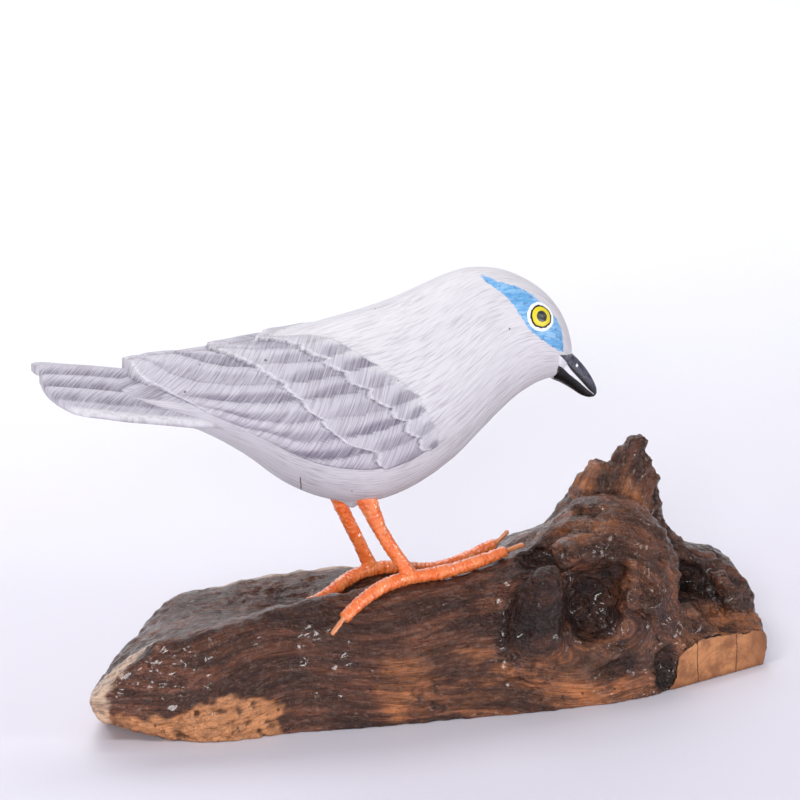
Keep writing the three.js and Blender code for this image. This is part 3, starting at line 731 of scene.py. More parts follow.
@dataclass
class BirdCarving:
    """The carved bird: body, wings, tail and bill as one closed mesh."""

    body: Loft = field(default_factory=lambda: Loft(BODY_SECTIONS))
    bill: Loft = field(default_factory=lambda: Loft(BILL_SECTIONS))
    wings: Wings = field(default_factory=Wings)
    tail: Tail = field(default_factory=Tail)
    rows_per_run: tuple[int, ...] = (22, 68, 52, 30, 92)
    edge_gaps: tuple[float, ...] = (0.35, 0.2, 0.2, 0.0)
    eye: Point = (34.1, 13.0, 130.0)
    eye_radius: float = 4.9
    eye_rise: float = 0.5
    eye_stretch: float = 1.18
    nub_at: Point = (-30.2, -5.4, 71.0)
    nub_size: Span = (2.4, 2.0)
    gape_angles: Span = (84.0, 99.0)
    gape_path: Pairs = ((40.4, 114.8), (46.1, 110.5), (48.9, 107.4), (52.8, 103.8), (56.4, 100.2), (59, 98))
    gape_halves: Pairs = ((41, 1.6), (46, 1), (49, 0.7), (53, 0.35), (57, 0.12))
    gape_width: float = 11.0
    gape_depth: float = 0.5
    bill_tip: Point = (0.15, 0.0, -0.3)
    top_limit: float = 145.28
    patch: Pairs = (
        (15.2, 144.5), (20.9, 142), (26.8, 140), (32, 137), (35.4, 134), (40.1, 129), (42.3, 125),
        (42.8, 120), (43.4, 116.5), (41, 117.6), (35.8, 121), (29.6, 126), (26.3, 131), (24, 135),
        (20.4, 139), (16.3, 142),
    )
    bill_area: Pairs = (
        (40.6, 116), (50.6, 113.9), (62, 113), (70, 95), (55, 90), (43.4, 103), (43.4, 106), (42, 110),
        (41.6, 113), (41.4, 115),
    )
    rump_half: float = 16.0

    def columns(self) -> Array:
        """Angles of the body's grid from the top over one side to the bottom, finer over the wing.

        Returns:
            The angles in degrees.
        """
        wing = np.linspace(self.wings.top_edge + 0.3, self.wings.lower_edge - 0.5, 92)
        return np.concatenate([[0.0, 1.4], [self.wings.top_edge - 0.3], wing, [self.wings.lower_edge + 0.4],
                               np.linspace(self.wings.lower_edge + 2.5, 180.0, 26)])

    def places(self, angle: Array) -> tuple[Array, Array]:
        """Places of the body's rows at each angle, and the row of feathers that each belongs to.

        Args:
            angle: Degrees from the top, one for each column.

        Returns:
            Places of rows by columns, and the band of each row, with -1 behind the wing.
        """
        runs = []
        start = np.zeros(angle.shape)
        for count, mark, gap in zip(self.rows_per_run, self.wings.edges(angle), self.edge_gaps):
            end = self.body.place_at(mark - gap)
            runs.append(start + (end - start) * np.linspace(0.0, 1.0, count)[:, None])
            start = self.body.place_at(mark + gap)
        part = np.linspace(0.0, 1.0, self.rows_per_run[-1])[1:, None] ** 1.15
        runs.append(start + (self.body.last - start) * part)
        return np.concatenate(runs), np.repeat(np.arange(-1, 4), [len(run) for run in runs])

    def body_surface(self) -> Surface:
        """Makes the body with both wings carved on it.

        Returns:
            The closed surface.
        """
        side = self.columns()
        ring = np.concatenate([side, -side[-2:0:-1]])
        place, bands = self.places(np.abs(ring))
        degrees = np.broadcast_to(ring, place.shape)
        turned = np.abs(degrees)
        x = self.body.x_at(place)
        on_wing = (turned > self.wings.top_edge) & (turned < self.wings.lower_edge)
        rise = np.zeros(place.shape)
        for band in range(4):
            rise[bands == band] = self.wings.rise(band, x[bands == band], turned[bands == band])
        rise *= on_wing
        base = self.body.point(place, degrees)
        eye = np.array(self.eye)
        stretch = np.array([self.eye_stretch, 1.0, 1.0])
        for sign in (-1.0, 1.0):
            offset = (base - eye * np.array([1.0, sign, 1.0])) / stretch
            gap = np.linalg.norm(offset, axis=-1) / self.eye_radius
            ring_cut = 1.0 - 0.5 * np.exp(-(((gap - 0.78) / 0.07) ** 2))
            rise += self.eye_rise * np.maximum(1.0 - gap**2, 0.0) * ring_cut
        nub = np.linalg.norm(base - np.array(self.nub_at), axis=-1) / self.nub_size[0]
        rise += self.nub_size[1] * np.exp(-(nub**2))
        rump = (bands[:, None] < 0) * fall(-88.0, -80.0, x) * fall(88.0, 96.0, turned)
        tail_marks = self.tail.marks(base[..., 1] / self.rump_half)
        rise -= rump * self.tail.groove_depth * (1.0 - tail_marks["crown"])
        rings = self.body.point(place, degrees, rise)
        points, faces = capped(rings, rings[0].mean(axis=0), rings[-1].mean(axis=0))
        # wash on the wing: grey paint wash and painted shade on the lower part of each feather
        wash_and_shade = self.wings.wash_and_shade(x, turned) * on_wing
        front = self.wings.edges(turned)[3]
        crest = fall(front - 8.0, front + 2.0, x) * on_wing * (bands[:, None] >= 0)
        number = self.wings.feather_number(x, turned)
        wash_and_shade *= 0.7 + 0.3 * np.sin(number * 2.4 + bands[:, None] * 1.7)
        ink_and_shade, pale = (value * on_wing for value in self.wings.lines(x, turned))
        around = np.radians(turned) * 22.0
        values = {"surface": np.stack([x, around, np.sign(degrees) * 30.0], -1).reshape(-1, 3) * MM}
        for name, data in (("wash_and_shade", wash_and_shade), ("ink_and_shade", ink_and_shade), ("pale", pale), ("feathered", crest)):
            values[name] = np.maximum(data, rump * tail_marks[name]).ravel()
        for name, data in values.items():
            values[name] = np.concatenate([data, data[[0, -1]]])
        return Surface(points, faces, values).outwards()

    def bill_surface(self) -> Surface:
        """Makes the bill, with the cut along each side where its two halves meet.

        Returns:
            The closed surface.
        """
        place = np.linspace(0.0, self.bill.last, 60)[:, None]
        ring = np.linspace(0.0, 360.0, 72, endpoint=False)
        degrees = np.where(ring > 180.0, ring - 360.0, ring)[None, :]
        half = self.bill.section(place)[..., 4]
        off = np.abs(np.abs(degrees) - lerp(*self.gape_angles, smooth(0.5, 3.0, place)))
        cut = np.clip(1.0 - off / self.gape_width, 0.0, 1.0) ** 0.8
        grid = self.bill.point(place, degrees, -np.minimum(self.gape_depth, half / 3.0) * cut)
        points, faces = capped(grid, grid[0].mean(axis=0), grid[-1].mean(axis=0) + np.array(self.bill_tip))
        values = {name: np.zeros(len(points)) for name in ("wash_and_shade", "ink_and_shade", "pale", "feathered")}
        return Surface(points, faces, {"surface": points * MM, **values}).outwards()

    def build(self) -> bpy.types.Object:
        """Joins the parts of the bird and gives it its paint values.

        Returns:
            The finished mesh object.
        """
        surfaces = [self.body_surface(), self.tail.surface(), self.bill_surface()]
        sources = np.vstack([surface.points for surface in surfaces])
        known = kdtree.KDTree(len(sources))
        for number, point in enumerate(sources * MM):
            known.insert(point, number)
        known.balance()
        kept = {name: np.concatenate([s.values[name] for s in surfaces]) for name in surfaces[0].values}
        piece = joined([surface.to_object("bird_part") for surface in surfaces])
        piece.name = "carved_bird"
        mesh = piece.data
        mesh.name = "carved_bird"
        points = mesh_points(mesh)
        points[:, 2] = np.minimum(points[:, 2], self.top_limit)
        set_points(mesh, points)
        nearest = np.array([known.find(point)[1] for point in points * MM])
        for name in kept:
            if name in mesh.attributes:
                mesh.attributes.remove(mesh.attributes[name])
        side_plane = points[:, [0, 2]]
        gape = path_distance(side_plane, np.array(self.gape_path)) - table(self.gape_halves, points[:, 0])
        write_values(mesh, {
            **{name: data[nearest] for name, data in kept.items()},
            "patch": np.clip(polygon_distance(side_plane, self.patch), -6.0, 6.0),
            "bill": np.clip(polygon_distance(side_plane, self.bill_area), -6.0, 6.0),
            "gape": np.clip(gape, -2.0, 6.0),
        })
        mesh.shade_smooth()
        return piece


@dataclass(frozen=True)
class Lump:
    """An ellipsoid that is joined to the wood or cut out of it, turned about the vertical."""

    centre: Point
    radii: Point
    blend: float
    turn: float = 0.0
    lean: float = 0.0

    def distance(self, points: Array) -> Array:
        """About how far points are outside the ellipsoid.

        Args:
            points: Points in millimetres, one row each.

        Returns:
            Distances in millimetres, negative inside.
        """
        offset = points - np.array(self.centre)
        turn, lean = np.radians(self.turn), np.radians(self.lean)
        x = offset[:, 0] * np.cos(turn) + offset[:, 1] * np.sin(turn)
        y = offset[:, 1] * np.cos(turn) - offset[:, 0] * np.sin(turn)
        z = offset[:, 2] * np.cos(lean) - x * np.sin(lean)
        x = x * np.cos(lean) + offset[:, 2] * np.sin(lean)
        radii = np.array(self.radii)
        local = np.stack([x, y, z], -1) / radii
        size = np.linalg.norm(local, axis=1)
        steep = np.linalg.norm(local / radii, axis=1)
        return (size - 1.0) * size / np.maximum(steep, 1e-6)


@dataclass(frozen=True)
class Roll:
    """A rounded ridge along a path on the wood, or a groove along it."""

    path: tuple[Point, ...]
    radius: float
    blend: float

    def distance(self, points: Array) -> Array:
        """How far points are outside the roll; it is only worked out near the roll.

        Args:
            points: Points in millimetres, one row each.

        Returns:
            Distances in millimetres, negative inside and very large far from the roll.
        """
        path = np.array(self.path)
        reach = self.radius + 2.0 * self.blend
        near = np.all((points > path.min(axis=0) - reach) & (points < path.max(axis=0) + reach), axis=1)
        away = np.full(len(points), FAR)
        away[near] = path_distance(points[near], path) - self.radius
        return away


@dataclass(frozen=True)
class EndPlane:
    """A slanting plane that ends the wood, through a point and facing outwards."""

    point: Point
    facing: Point
    blend: float

    def distance(self, points: Array) -> Array:
        """How far points are outside the plane."""
        normal = np.array(self.facing)
        return (points - np.array(self.point)) @ normal / np.linalg.norm(normal)


def blend_min(a: Array, b: Array, radius: float) -> Array:
    """Joins two distances with a rounded seam."""
    share = np.maximum(radius - np.abs(a - b), 0.0) / radius
    return np.minimum(a, b) - share * share * radius / 4.0


def blend_max(a: Array, b: Array, radius: float) -> Array:
    """Cuts one distance by another with a rounded edge."""
    return -blend_min(-a, -b, radius)


@dataclass
class Driftwood:
    """The lying driftwood: a trunk with a knot, a thumb-shaped root, hollows, a splinter and a saw cut."""

    crest_y: float = -13.0
    middle_y: float = 6.0
    ridge_y: float = 26.0
    crest: Pairs = (
        (-124, 15), (-111, 25), (-100, 32), (-84, 34), (-71, 36), (-57, 39.5), (-45, 41), (-25, 42),
        (-4, 42), (5, 43), (15, 45), (25, 48), (40, 51), (60, 48), (84, 30), (100, 14), (124, 9),
    )
    middle: Pairs = (
        (-124, 15), (-111, 22), (-100, 29), (-84, 33), (-71, 33.4), (-57, 31.6), (-45, 31), (-35, 32.6),
        (-25, 37.4), (-14, 39.6), (-4, 38), (5, 36), (15, 38.4), (25, 42.6), (40, 49), (60, 54), (84, 44),
        (98, 36), (114, 30), (124, 20),
    )
    ridge: Pairs = (
        (-124, 8), (-104, 16), (-96, 25), (-84, 34), (-57, 37), (-25, 38.1), (-4, 35), (5, 32), (15, 33),
        (25, 36), (40, 42), (60, 46), (84, 42), (100, 34), (114, 29), (124, 20),
    )
    front_foot: Pairs = (
        (-124, -14), (-97, -20), (-83, -26), (-56, -25), (-38, -29), (-8, -32), (32, -36), (62, -35.5),
        (80, -30), (124, -26),
    )
    back_foot: Pairs = ((-124, 6), (-108, 20), (-90, 36), (-60, 43), (0, 45), (60, 44), (100, 40), (124, 26))
    swellings: tuple[Lump, ...] = (
        Lump((60.5, -8, 27), (26.5, 25, 36.5), 6),
        Lump((70, 10, 22), (34, 26, 26), 8),
        Lump((109, 10, 10), (28, 24, 25), 6, turn=10),
        Lump((98, -8, 4), (28, 24, 12), 6, turn=18),
    )
    socket: Lump = Lump((46.5, -33, 37), (10.8, 10.5, 15), 4)
    eyelid: Lump = Lump((40.5, -30, 52.5), (13.5, 9.5, 7.5), 2)
    recess: Lump = Lump((93, -12, 29), (16, 14, 9), 3)
    ledge: EndPlane = EndPlane((94, -11, 23.6), (0.26, -0.08, 1), 1)
    notch: Lump = Lump((74, -33, 8), (5, 5, 8), 2)
    crease: Lump = Lump((30.5, -19.5, 48.4), (8, 6.5, 3.4), 1.5)
    low_dent: Lump = Lump((53, -37.6, 12.5), (9, 4, 3.4), 2, lean=12)
    pits: tuple[Lump, ...] = (
        Lump((100.6, -14, 19), (1.5, 4, 1.5), 0.5),
        Lump((107.4, -20.4, 15), (4, 3, 1.9), 1, lean=-24),
        Lump((117, -11, 21.5), (2.4, 3, 4), 1),
        Lump((68, -33, 36), (3, 4, 5), 2),
        Lump((104.6, -13, 19.4), (1.6, 3, 2), 1),
    )
    beads: tuple[Lump, ...] = (
        Lump((38.8, -25.4, 50.6), (4.7, 6, 5.2), 1.5),
        Lump((47, -21.5, 50), (9, 8, 6.4), 2),
    )
    rolls: tuple[Roll, ...] = (
        Roll(((-100, -11.6, 30.4), (-84, -13, 32.6), (-68, -13.6, 35), (-55, -13, 38), (-43, -12.6, 39.8),
              (-30, -12.2, 40.4)), 1.5, 2.5),
        Roll(((31, -16.5, 47.6), (36.5, -11.5, 51.4), (42, -9.5, 54.6), (46.7, -12.5, 56.8),
              (51, -18.4, 56.8), (54.6, -23.4, 53.6), (55.4, -26.8, 48)), 2.3, 2.5),
        Roll(((53.6, -4, 57), (57, -6, 60.4), (62, -12.6, 61.8), (69, -17.8, 57.2), (77, -17.4, 50),
              (80.8, -18.6, 41.6), (79, -24, 33.4)), 1.5, 2),
        Roll(((59.6, -31, 46), (60.4, -31.6, 40), (58.6, -32.6, 33)), 2.6, 3),
        Roll(((105.6, -6.6, 29), (108, -9.4, 24), (109, -12.4, 18.6)), 2.8, 3),
    )
    grooves: tuple[Roll, ...] = (
        Roll(((48.8, -6.6, 59.6), (52.6, -13, 60.8), (57.4, -15.6, 61.3)), 0.8, 1.5),
        Roll(((79, -26, 30), (86, -24, 26), (94, -22, 21)), 0.5, 1.5),
        Roll(((62, -32, 30), (68, -32, 26), (72, -31.4, 20)), 0.9, 2),
    )
    thumb_from: Point = (28.5, -33, 44.5)
    thumb_to: Point = (24, -23.2, 17)
    thumb_radii: Span = (5.4, 14.6)
    end_planes: tuple[EndPlane, ...] = (
        EndPlane((-99, -19, 0), (-0.36, -0.12, -0.92), 5),
        EndPlane((-123.4, -12, 13), (-0.88, 0.1, -0.476), 2),
        EndPlane((-124, -8, 16), (-0.72, 0.56, 0.3), 5),
        EndPlane((117.5, -18, 0), (1, -0.16, -0.42), 3),
        EndPlane((119.5, 5, 25.4), (1, -0.16, 0.94), 4),
        EndPlane((118.4, 0, 0), (1, 0, 0), 3),
    )
    side_limits: Span = (-38.35, 44.9)
    right_limit: float = 118.95
    splinter: Pairs = (
        (44, 30), (48, 46), (55, 56), (60, 63.6), (64.4, 70), (67.4, 70.6), (70, 69), (73, 69),
        (74.4, 73.2), (77, 74.4), (79, 76.8), (82.2, 78), (84, 76), (83.4, 72), (85, 70), (85.8, 66),
        (87.6, 62.6), (88, 57), (87.6, 50), (91, 44), (96, 30),
    )
    splinter_span: Span = (40.0, 98.0)
    splinter_y: float = 12.0
    splinter_halves: Span = (8.0, 2.6)
    splinter_heights: Span = (40.0, 79.0)
    saw_from: Span = (84.0, -28.6)
    saw_to: Span = (117.0, -18.0)
    saw_before: float = 10.0
    raw_band: Pairs = (
        (-128, 17), (-121, 13.6), (-117, 10.4), (-110, 9.6), (-107, 8.2), (-99, 8), (-92, 11.2), (-78, 15),
        (-64, 11), (-60, 9),
    )
    worn_tip: tuple[Point, ...] = (
        (-125, -10.5, 15), (-117, -9.4, 20.6), (-110, -8.6, 25.2), (-97.6, -7.2, 31),
    )
    worn_widths: tuple[float, ...] = (5.6, 4.8, 3.4, 0.6)
    pale_back_rim: Point = (-66.0, -12.0, 4.0)
    worn_end: Span = (-118.8, -116.8)
    grain_eye: Span = (52.0, 28.0)
    relief_seed: int = 11
    wander_seed: int = 5
    fine_seed: int = 6
    top_range: Span = (10.0, 70.0)
    top_within: float = 0.01
    floor_level: float = 0.02
    outside: float = 1e4
    step: float = 0.72
    low: Point = (-128.0, -44.2, 0.0)
    high: Point = (129.0, 50.0, 81.0)

    def trunk(self, p: Array) -> Array:
        """The lying trunk: its top follows the crest, the middle and the ridge, and its flanks are round.

        Args:
            p: Points in millimetres, one row each.

        Returns:
            Distances in millimetres, negative inside.
        """
        x, y, z = p.T
        crest, middle, ridge = (rounded_table(pairs, x) for pairs in (self.crest, self.middle, self.ridge))
        front = lerp(crest, middle, smooth(self.crest_y, self.middle_y, y))
        back = lerp(middle, ridge, smooth(self.middle_y, self.ridge_y, y))
        top = np.where(y < self.middle_y, front, back)
        front_reach = self.crest_y - rounded_table(self.front_foot, x)
        back_reach = np.maximum(rounded_table(self.back_foot, x) - self.ridge_y, 4.0)
        reach = np.where(y < self.crest_y, front_reach, back_reach)
        out = np.maximum(np.where(y < self.crest_y, self.crest_y - y, y - self.ridge_y), 0.0) / reach
        up = np.maximum(z, 0.0) / top
        size = np.hypot(out, up)
        flank = (size - 1.0) * size / np.maximum(np.hypot(out / reach, up / top), 1e-6)
        return np.where((y >= self.crest_y) & (y <= self.ridge_y), z - top, flank)

    def thumb(self, p: Array) -> Array:
        """The thumb-shaped root on the front of the knot.

        Args:
            p: Points in millimetres, one row each.

        Returns:
            Distances in millimetres, negative inside.
        """
        start = np.array(self.thumb_from)
        axis = np.array(self.thumb_to) - start
        offset = p - start
        share = np.clip(offset @ axis / (axis @ axis), 0.0, 1.0)
        return np.linalg.norm(offset - share[:, None] * axis, axis=1) - lerp(*self.thumb_radii, share)

    def standing_splinter(self, p: Array) -> Array:
        """The thin splinter that stands behind the knot.

        Args:
            p: Points in millimetres, one row each.

        Returns:
            Distances in millimetres, negative inside.
        """
        share = smooth(*self.splinter_heights, p[:, 2])
        side = np.abs(p[:, 1] - self.splinter_y) - lerp(*self.splinter_halves, share)
        return blend_max(polygon_distance(p[:, [0, 2]], self.splinter), side, 2.0)

    def before_saw_cut(self, p: Array) -> Array:
        """How far points are behind the saw cut's face, negative in the block that is sawn off.

        Args:
            p: Points in millimetres, one row each.

        Returns:
            Distances in millimetres, negative inside.
        """
        start, end = np.array(self.saw_from), np.array(self.saw_to)
        along = (end - start) / np.linalg.norm(end - start)
        offset = p[:, :2] - start
        return np.maximum(-(offset @ np.array([along[1], -along[0]])), -(offset @ along) - self.saw_before)

    def field(self, p: Array) -> Array:
        """The whole piece as a distance in millimetres, negative inside.

        Args:
            p: Points in millimetres, one row each.

        Returns:
            Distances in millimetres, negative inside.
        """
        total = self.trunk(p)
        for lump in self.swellings:
            total = blend_min(total, lump.distance(p), lump.blend)
        for shaded_hollow in (self.socket, self.eyelid, self.notch, self.low_dent, *self.pits):
            total = blend_max(total, -shaded_hollow.distance(p), shaded_hollow.blend)
        above_ledge = np.maximum(self.recess.distance(p), -self.ledge.distance(p))
        total = blend_max(total, -above_ledge, self.recess.blend)
        total = blend_min(total, self.thumb(p), 1.6)
        for lump in (*self.beads, *self.rolls):
            total = blend_min(total, lump.distance(p), lump.blend)
        for groove in (*self.grooves, self.crease):
            total = blend_max(total, -groove.distance(p), groove.blend)
        for plane in self.end_planes:
            total = blend_max(total, plane.distance(p), plane.blend)
        near = (p[:, 0] > 40.0) & (p[:, 0] < 100.0) & (p[:, 2] > 25.0)
        total[near] = blend_min(total[near], self.standing_splinter(p[near]), 3.0)
        return np.maximum(total, -self.before_saw_cut(p))

    def grid(self) -> tuple[Array, Array]:
        """Samples the field on a grid whose lowest layer is outside, just under the floor.

        Returns:
            The values on the grid, and the place of its first point.
        """
        axes = [np.arange(a, b, self.step) for a, b in zip(self.low, self.high)]
        values = np.empty([len(axis) for axis in axes])
        for i, x in enumerate(axes[0]):
            y, z = np.meshgrid(axes[1], axes[2], indexing="ij")
            plane = np.stack([np.full(y.size, x), y.ravel(), z.ravel()], -1)
            values[i] = self.field(plane).reshape(y.shape)
        below = np.full((*values.shape[:2], 1), self.outside)
        start = np.array([self.low[0], self.low[1], self.low[2] - self.step])
        return np.concatenate([below, values], axis=2), start

    def shell(self) -> tuple[Array, Array]:
        """Draws the surface of the field as points and quads, one point in each cell that it crosses.

        Returns:
            Points in millimetres, and four point numbers for each face.
        """
        values, start = self.grid()
        shape = np.array(values.shape)
        cells = shape - 1
        counts = np.zeros(int(np.prod(cells)))
        sums = np.zeros((len(counts), 3))
        corners = []
        for axis in range(3):
            first = [slice(None)] * 3
            second = [slice(None)] * 3
            first[axis], second[axis] = slice(None, -1), slice(1, None)
            a, b = values[tuple(first)], values[tuple(second)]
            other = [k for k in range(3) if k != axis]
            at = np.argwhere((a < 0.0) != (b < 0.0))
            inner = np.all((at[:, other] > 0) & (at[:, other] < shape[other] - 1), axis=1)
            at = at[inner]
            va, vb = a[tuple(at.T)], b[tuple(at.T)]
            place = at.astype(float)
            place[:, axis] += va / (va - vb)
            around = []
            for du, dv in ((0, 0), (1, 0), (1, 1), (0, 1)):
                cell = at.copy()
                cell[:, other[0]] -= 1 - du
                cell[:, other[1]] -= 1 - dv
                number = np.ravel_multi_index(cell.T, cells)
                np.add.at(sums, number, place)
                np.add.at(counts, number, 1.0)
                around.append(number)
            quad = np.stack(around, -1)
            flip = (va < 0.0) != (axis == 1)
            corners.append(np.where(flip[:, None], quad, quad[:, ::-1]))
        used, quads = np.unique(np.concatenate(corners), return_inverse=True)
        return sums[used] / counts[used, None] * self.step + start, quads.reshape(-1, 4)

    def grain(self, p: Array) -> Array:
        """Coordinates that follow the grain: along it first, then across it twice.

        Args:
            p: Points in millimetres.

        Returns:
            Coordinates in millimetres; the grain runs along the trunk, round the knot and up the splinter.
        """
        x, y, z = p.T
        sway = 2.2 * np.sin(x / 21.0 + z / 17.0) + 1.6 * np.sin(x / 9.5 + y / 14.0)
        along = x + 0.15 * z
        side = y + sway * 0.6
        up = z + sway + 0.06 * np.maximum(x - 10.0, 0.0) ** 1.2
        offset = np.stack([x, z], -1) - np.array(self.grain_eye)
        radius = np.linalg.norm(offset, axis=1)
        turn = np.arctan2(offset[:, 1], -offset[:, 0])
        share = fall(12.0, 30.0, np.hypot(radius, np.maximum(y - 5.0, 0.0)))
        share *= 0.5 * smooth(10.0, 26.0, z)
        along = lerp(along, self.grain_eye[0] - 34.0 * np.cos(turn) + 18.0 * turn, share)
        up = lerp(up, 1.35 * radius + 0.4 * y, share)
        rising = smooth(-8.0, -1.0, z - self.knot_top(x)) * self.by_splinter(x) * smooth(-2.0, 4.0, y)
        along = lerp(along, 0.42 * x + 0.91 * z, rising)
        up = lerp(up, 0.91 * x - 0.42 * z, rising)
        return np.stack([along, side, up], -1)

    def by_splinter(self, x: Array) -> Array:
        """Whether each x lies in the splinter's span."""
        return (x > self.splinter_span[0]) & (x < self.splinter_span[1])

    def knot_top(self, x: Array) -> Array:
        """Height of the knot's own top at x, above which the splinter stands free.

        Args:
            x: Places along the wood.

        Returns:
            Heights in millimetres.
        """
        knot = self.swellings[0]
        share = np.clip((x - knot.centre[0]) / (knot.radii[0] * 1.25), -1.0, 1.0)
        return knot.centre[2] + knot.radii[2] * np.sqrt(1.0 - share**2) * 0.93

    def relief(self, p: Array, grain: Array, masks: dict[str, Array]) -> Array:
        """Height of the fine relief on the surface.

        Args:
            p: Points in millimetres.
            grain: Their grain coordinates.
            masks: Strengths of the kinds of surface, 0 to 1.

        Returns:
            Heights in millimetres.
        """
        noise = Noise(self.relief_seed)
        fibre = noise.ridged(grain / np.array([26.0, 4.2, 4.2]), 3) - 0.66
        strand = noise.ridged(grain / np.array([14.0, 2.1, 2.1]) + 31.0, 2) - 0.66
        lumps = noise.layered(p / 15.0 + 5.0, 3)
        dents = noise.layered(p / np.array([5.6, 4.6, 3.6]) + 71.0, 2)
        pits = np.maximum(noise.layered(p / np.array([4.4, 3.6, 3.0]) + 43.0, 2) - 0.28, 0.0)
        crumbs = noise.ridged(p / 3.4 + 19.0, 3) - 0.6
        height = 0.6 * fibre + 0.45 * strand + 0.8 * lumps + 0.65 * dents
        height += masks["splinter"] * (1.5 * fibre + 1.4 * strand)
        height += masks["gnarled"] * (0.5 * dents + 0.6 * crumbs - 0.5 * fibre)
        height -= masks["rough"] * 2.6 * pits + 0.5 * pits + masks["raw"] * 1.2 * np.maximum(crumbs, 0.0)
        return height * (1.0 - 0.94 * masks["cut"])

    def masks(self, p: Array) -> dict[str, Array]:
        """Strengths of the kinds of surface at points, 0 to 1, with the painted shade in the hollows.

        Args:
            p: Points in millimetres, one row each.

        Returns:
            The masks by name, one number for each point.
        """
        x, y, z = p.T
        front = fall(0.0, 12.0, y)
        wander = Noise(self.wander_seed).layered(p / 13.0, 3)
        fine = Noise(self.fine_seed).layered(p / 4.0, 2)
        cut = fall(0.35, 0.75, np.abs(self.before_saw_cut(p)))
        raw_top = table(self.raw_band, x)
        raw = fall(-64.0, -61.0, x + 3.0 * fine) * fall(-0.8, 1.2, z + 2.2 * fine - raw_top)
        flank = smooth(-36.0, -20.0, x) * fall(66.0, 80.0, x) * fall(17.0, 27.0, z + 6.0 * wander)
        raised = np.min([lump.distance(p) for lump in (*self.beads, *self.rolls)], axis=0)
        above = self.ledge.distance(p)
        # Painted shade: the recess under the ledge and the socket, eyelid, notch and low dent are darkened in
        # the paint, except where a bead or roll stands.
        recess = fall(-1.0, 4.0, self.recess.distance(p)) * smooth(-0.6, 0.4, above)
        holes = ((self.socket, -1.0, 3.0, 1.0), (self.eyelid, -0.5, 2.0, 0.9),
                 (self.notch, -0.5, 2.5, 1.0), (self.low_dent, -0.5, 2.0, 1.0))
        dark = [level * fall(low, high, hole.distance(p)) for hole, low, high, level in holes]
        shaded_hollow = np.max([recess, *dark], axis=0)
        shaded_hollow *= smooth(0.0, 1.6, raised)
        # The thumb and the wood just round it, and the crease under the brow, are darkened in the same
        # painted shade mask.
        thumb = self.thumb(p)
        beside_thumb = 0.8 * fall(0.5, 3.0, thumb) * smooth(16.0, 26.0, z)
        crease = 0.85 * fall(-0.5, 2.2, self.crease.distance(p))
        shaded_hollow = np.max([shaded_hollow * smooth(0.2, 1.2, thumb), beside_thumb, crease], axis=0)
        tip = np.array(self.worn_tip)
        tip_width = np.interp(x, tip[:, 0], self.worn_widths)
        worn = fall(-0.7, 0.7, path_distance(p, tip) - tip_width + 1.3 * fine)
        # a pale line along the top of the back rim
        at = np.arange(*self.pale_back_rim)
        back = np.column_stack([at, np.full(len(at), self.ridge_y + 3.0), table(self.ridge, at)])
        pale_back_rim = 0.8 * fall(1.5, 4.0, path_distance(p, back) + wander)
        worn = np.max([worn, pale_back_rim, 0.9 * fall(*self.worn_end, x + 2.0 * fine)], axis=0)
        splinter = smooth(0.0, 3.0, z - self.knot_top(x)) * self.by_splinter(x) * (y > 0.0)
        knot = smooth(26.0, 36.0, x) * fall(80.0, 88.0, x) * smooth(22.0, 34.0, z) * (1.0 - splinter)
        lobe = smooth(76.0, 84.0, x)
        low_lobe = lobe * fall(-1.5, 0.5, above)
        lit = splinter * fall(74.0, 82.0, x + 0.3 * (z - 60.0))
        warm = raw + flank * (0.7 + 0.6 * wander) + 0.7 * low_lobe + 2.2 * lit + 0.35 * knot * (0.6 + wander)
        return {
            "cut": cut,
            "rough": np.clip(raw * front + 0.35 * flank * front + 0.5 * lobe, 0.0, 1.0),
            "gnarled": np.clip(0.75 * knot + 0.8 * lobe, 0.0, 1.0) * front,
            "shaded_hollow": np.clip(shaded_hollow, 0.0, 1.0),
            "worn": worn,
            "raw": raw,
            "splinter": splinter,
            "orange": np.clip(warm, 0.0, 1.0) * (1.0 - cut),
        }

    def top_at(self, x: float, y: float) -> float:
        """Height of the wood's smooth top at x and y.

        Args:
            x: Place along the wood.
            y: Place across it.

        Returns:
            The height in millimetres.
        """
        low, high = self.top_range
        while high - low > self.top_within:
            middle = (low + high) / 2.0
            if self.field(np.array([[x, y, middle]]))[0] > 0.0:
                high = middle
            else:
                low = middle
        return (low + high) / 2.0

    def build(self) -> bpy.types.Object:
        """Makes the driftwood: the field's surface, closed flat on the floor and carved with its relief.

        Returns:
            The finished mesh object.
        """
        points, quads = self.shell()
        floor = np.all(points[quads][:, :, 2] < self.floor_level, axis=1)
        used, quads = np.unique(quads[~floor], return_inverse=True)
        points = points[used]
        piece = Surface(points, quads.reshape(-1, 4).tolist()).to_object("driftwood")
        mesh = piece.data
        masks = self.masks(points)
        grain = self.grain(points)
        height = self.relief(points, grain, masks)
        normals = mesh_normals(mesh)
        on_floor = points[:, 2] < self.floor_level
        normals[on_floor, 2] = 0.0
        moved = points + normals * height[:, None]
        moved[:, 0] = np.minimum(moved[:, 0], self.right_limit)
        moved[:, 1] = np.clip(moved[:, 1], *self.side_limits)
        moved[:, 2] = np.maximum(moved[:, 2], 0.0)
        moved[on_floor, 2] = 0.0
        set_points(mesh, moved)
        write_values(mesh, {"grain": grain * MM, "height": height, **masks})
        sheet = bmesh.new()
        sheet.from_mesh(mesh)
        rim = [edge for edge in sheet.edges if edge.is_boundary]
        caps = bmesh.ops.holes_fill(sheet, edges=rim, sides=0)["faces"]
        for cap in caps:
            cap.smooth = False
        bmesh.ops.triangulate(sheet, faces=caps, ngon_method="EAR_CLIP")
        bmesh.ops.recalc_face_normals(sheet, faces=sheet.faces)
        loose = sum(1 for edge in sheet.edges if not edge.is_manifold)
        LOG.info("driftwood: %d faces, %d open or shared edges", len(sheet.faces), loose)
        sheet.to_mesh(mesh)
        sheet.free()
        return piece


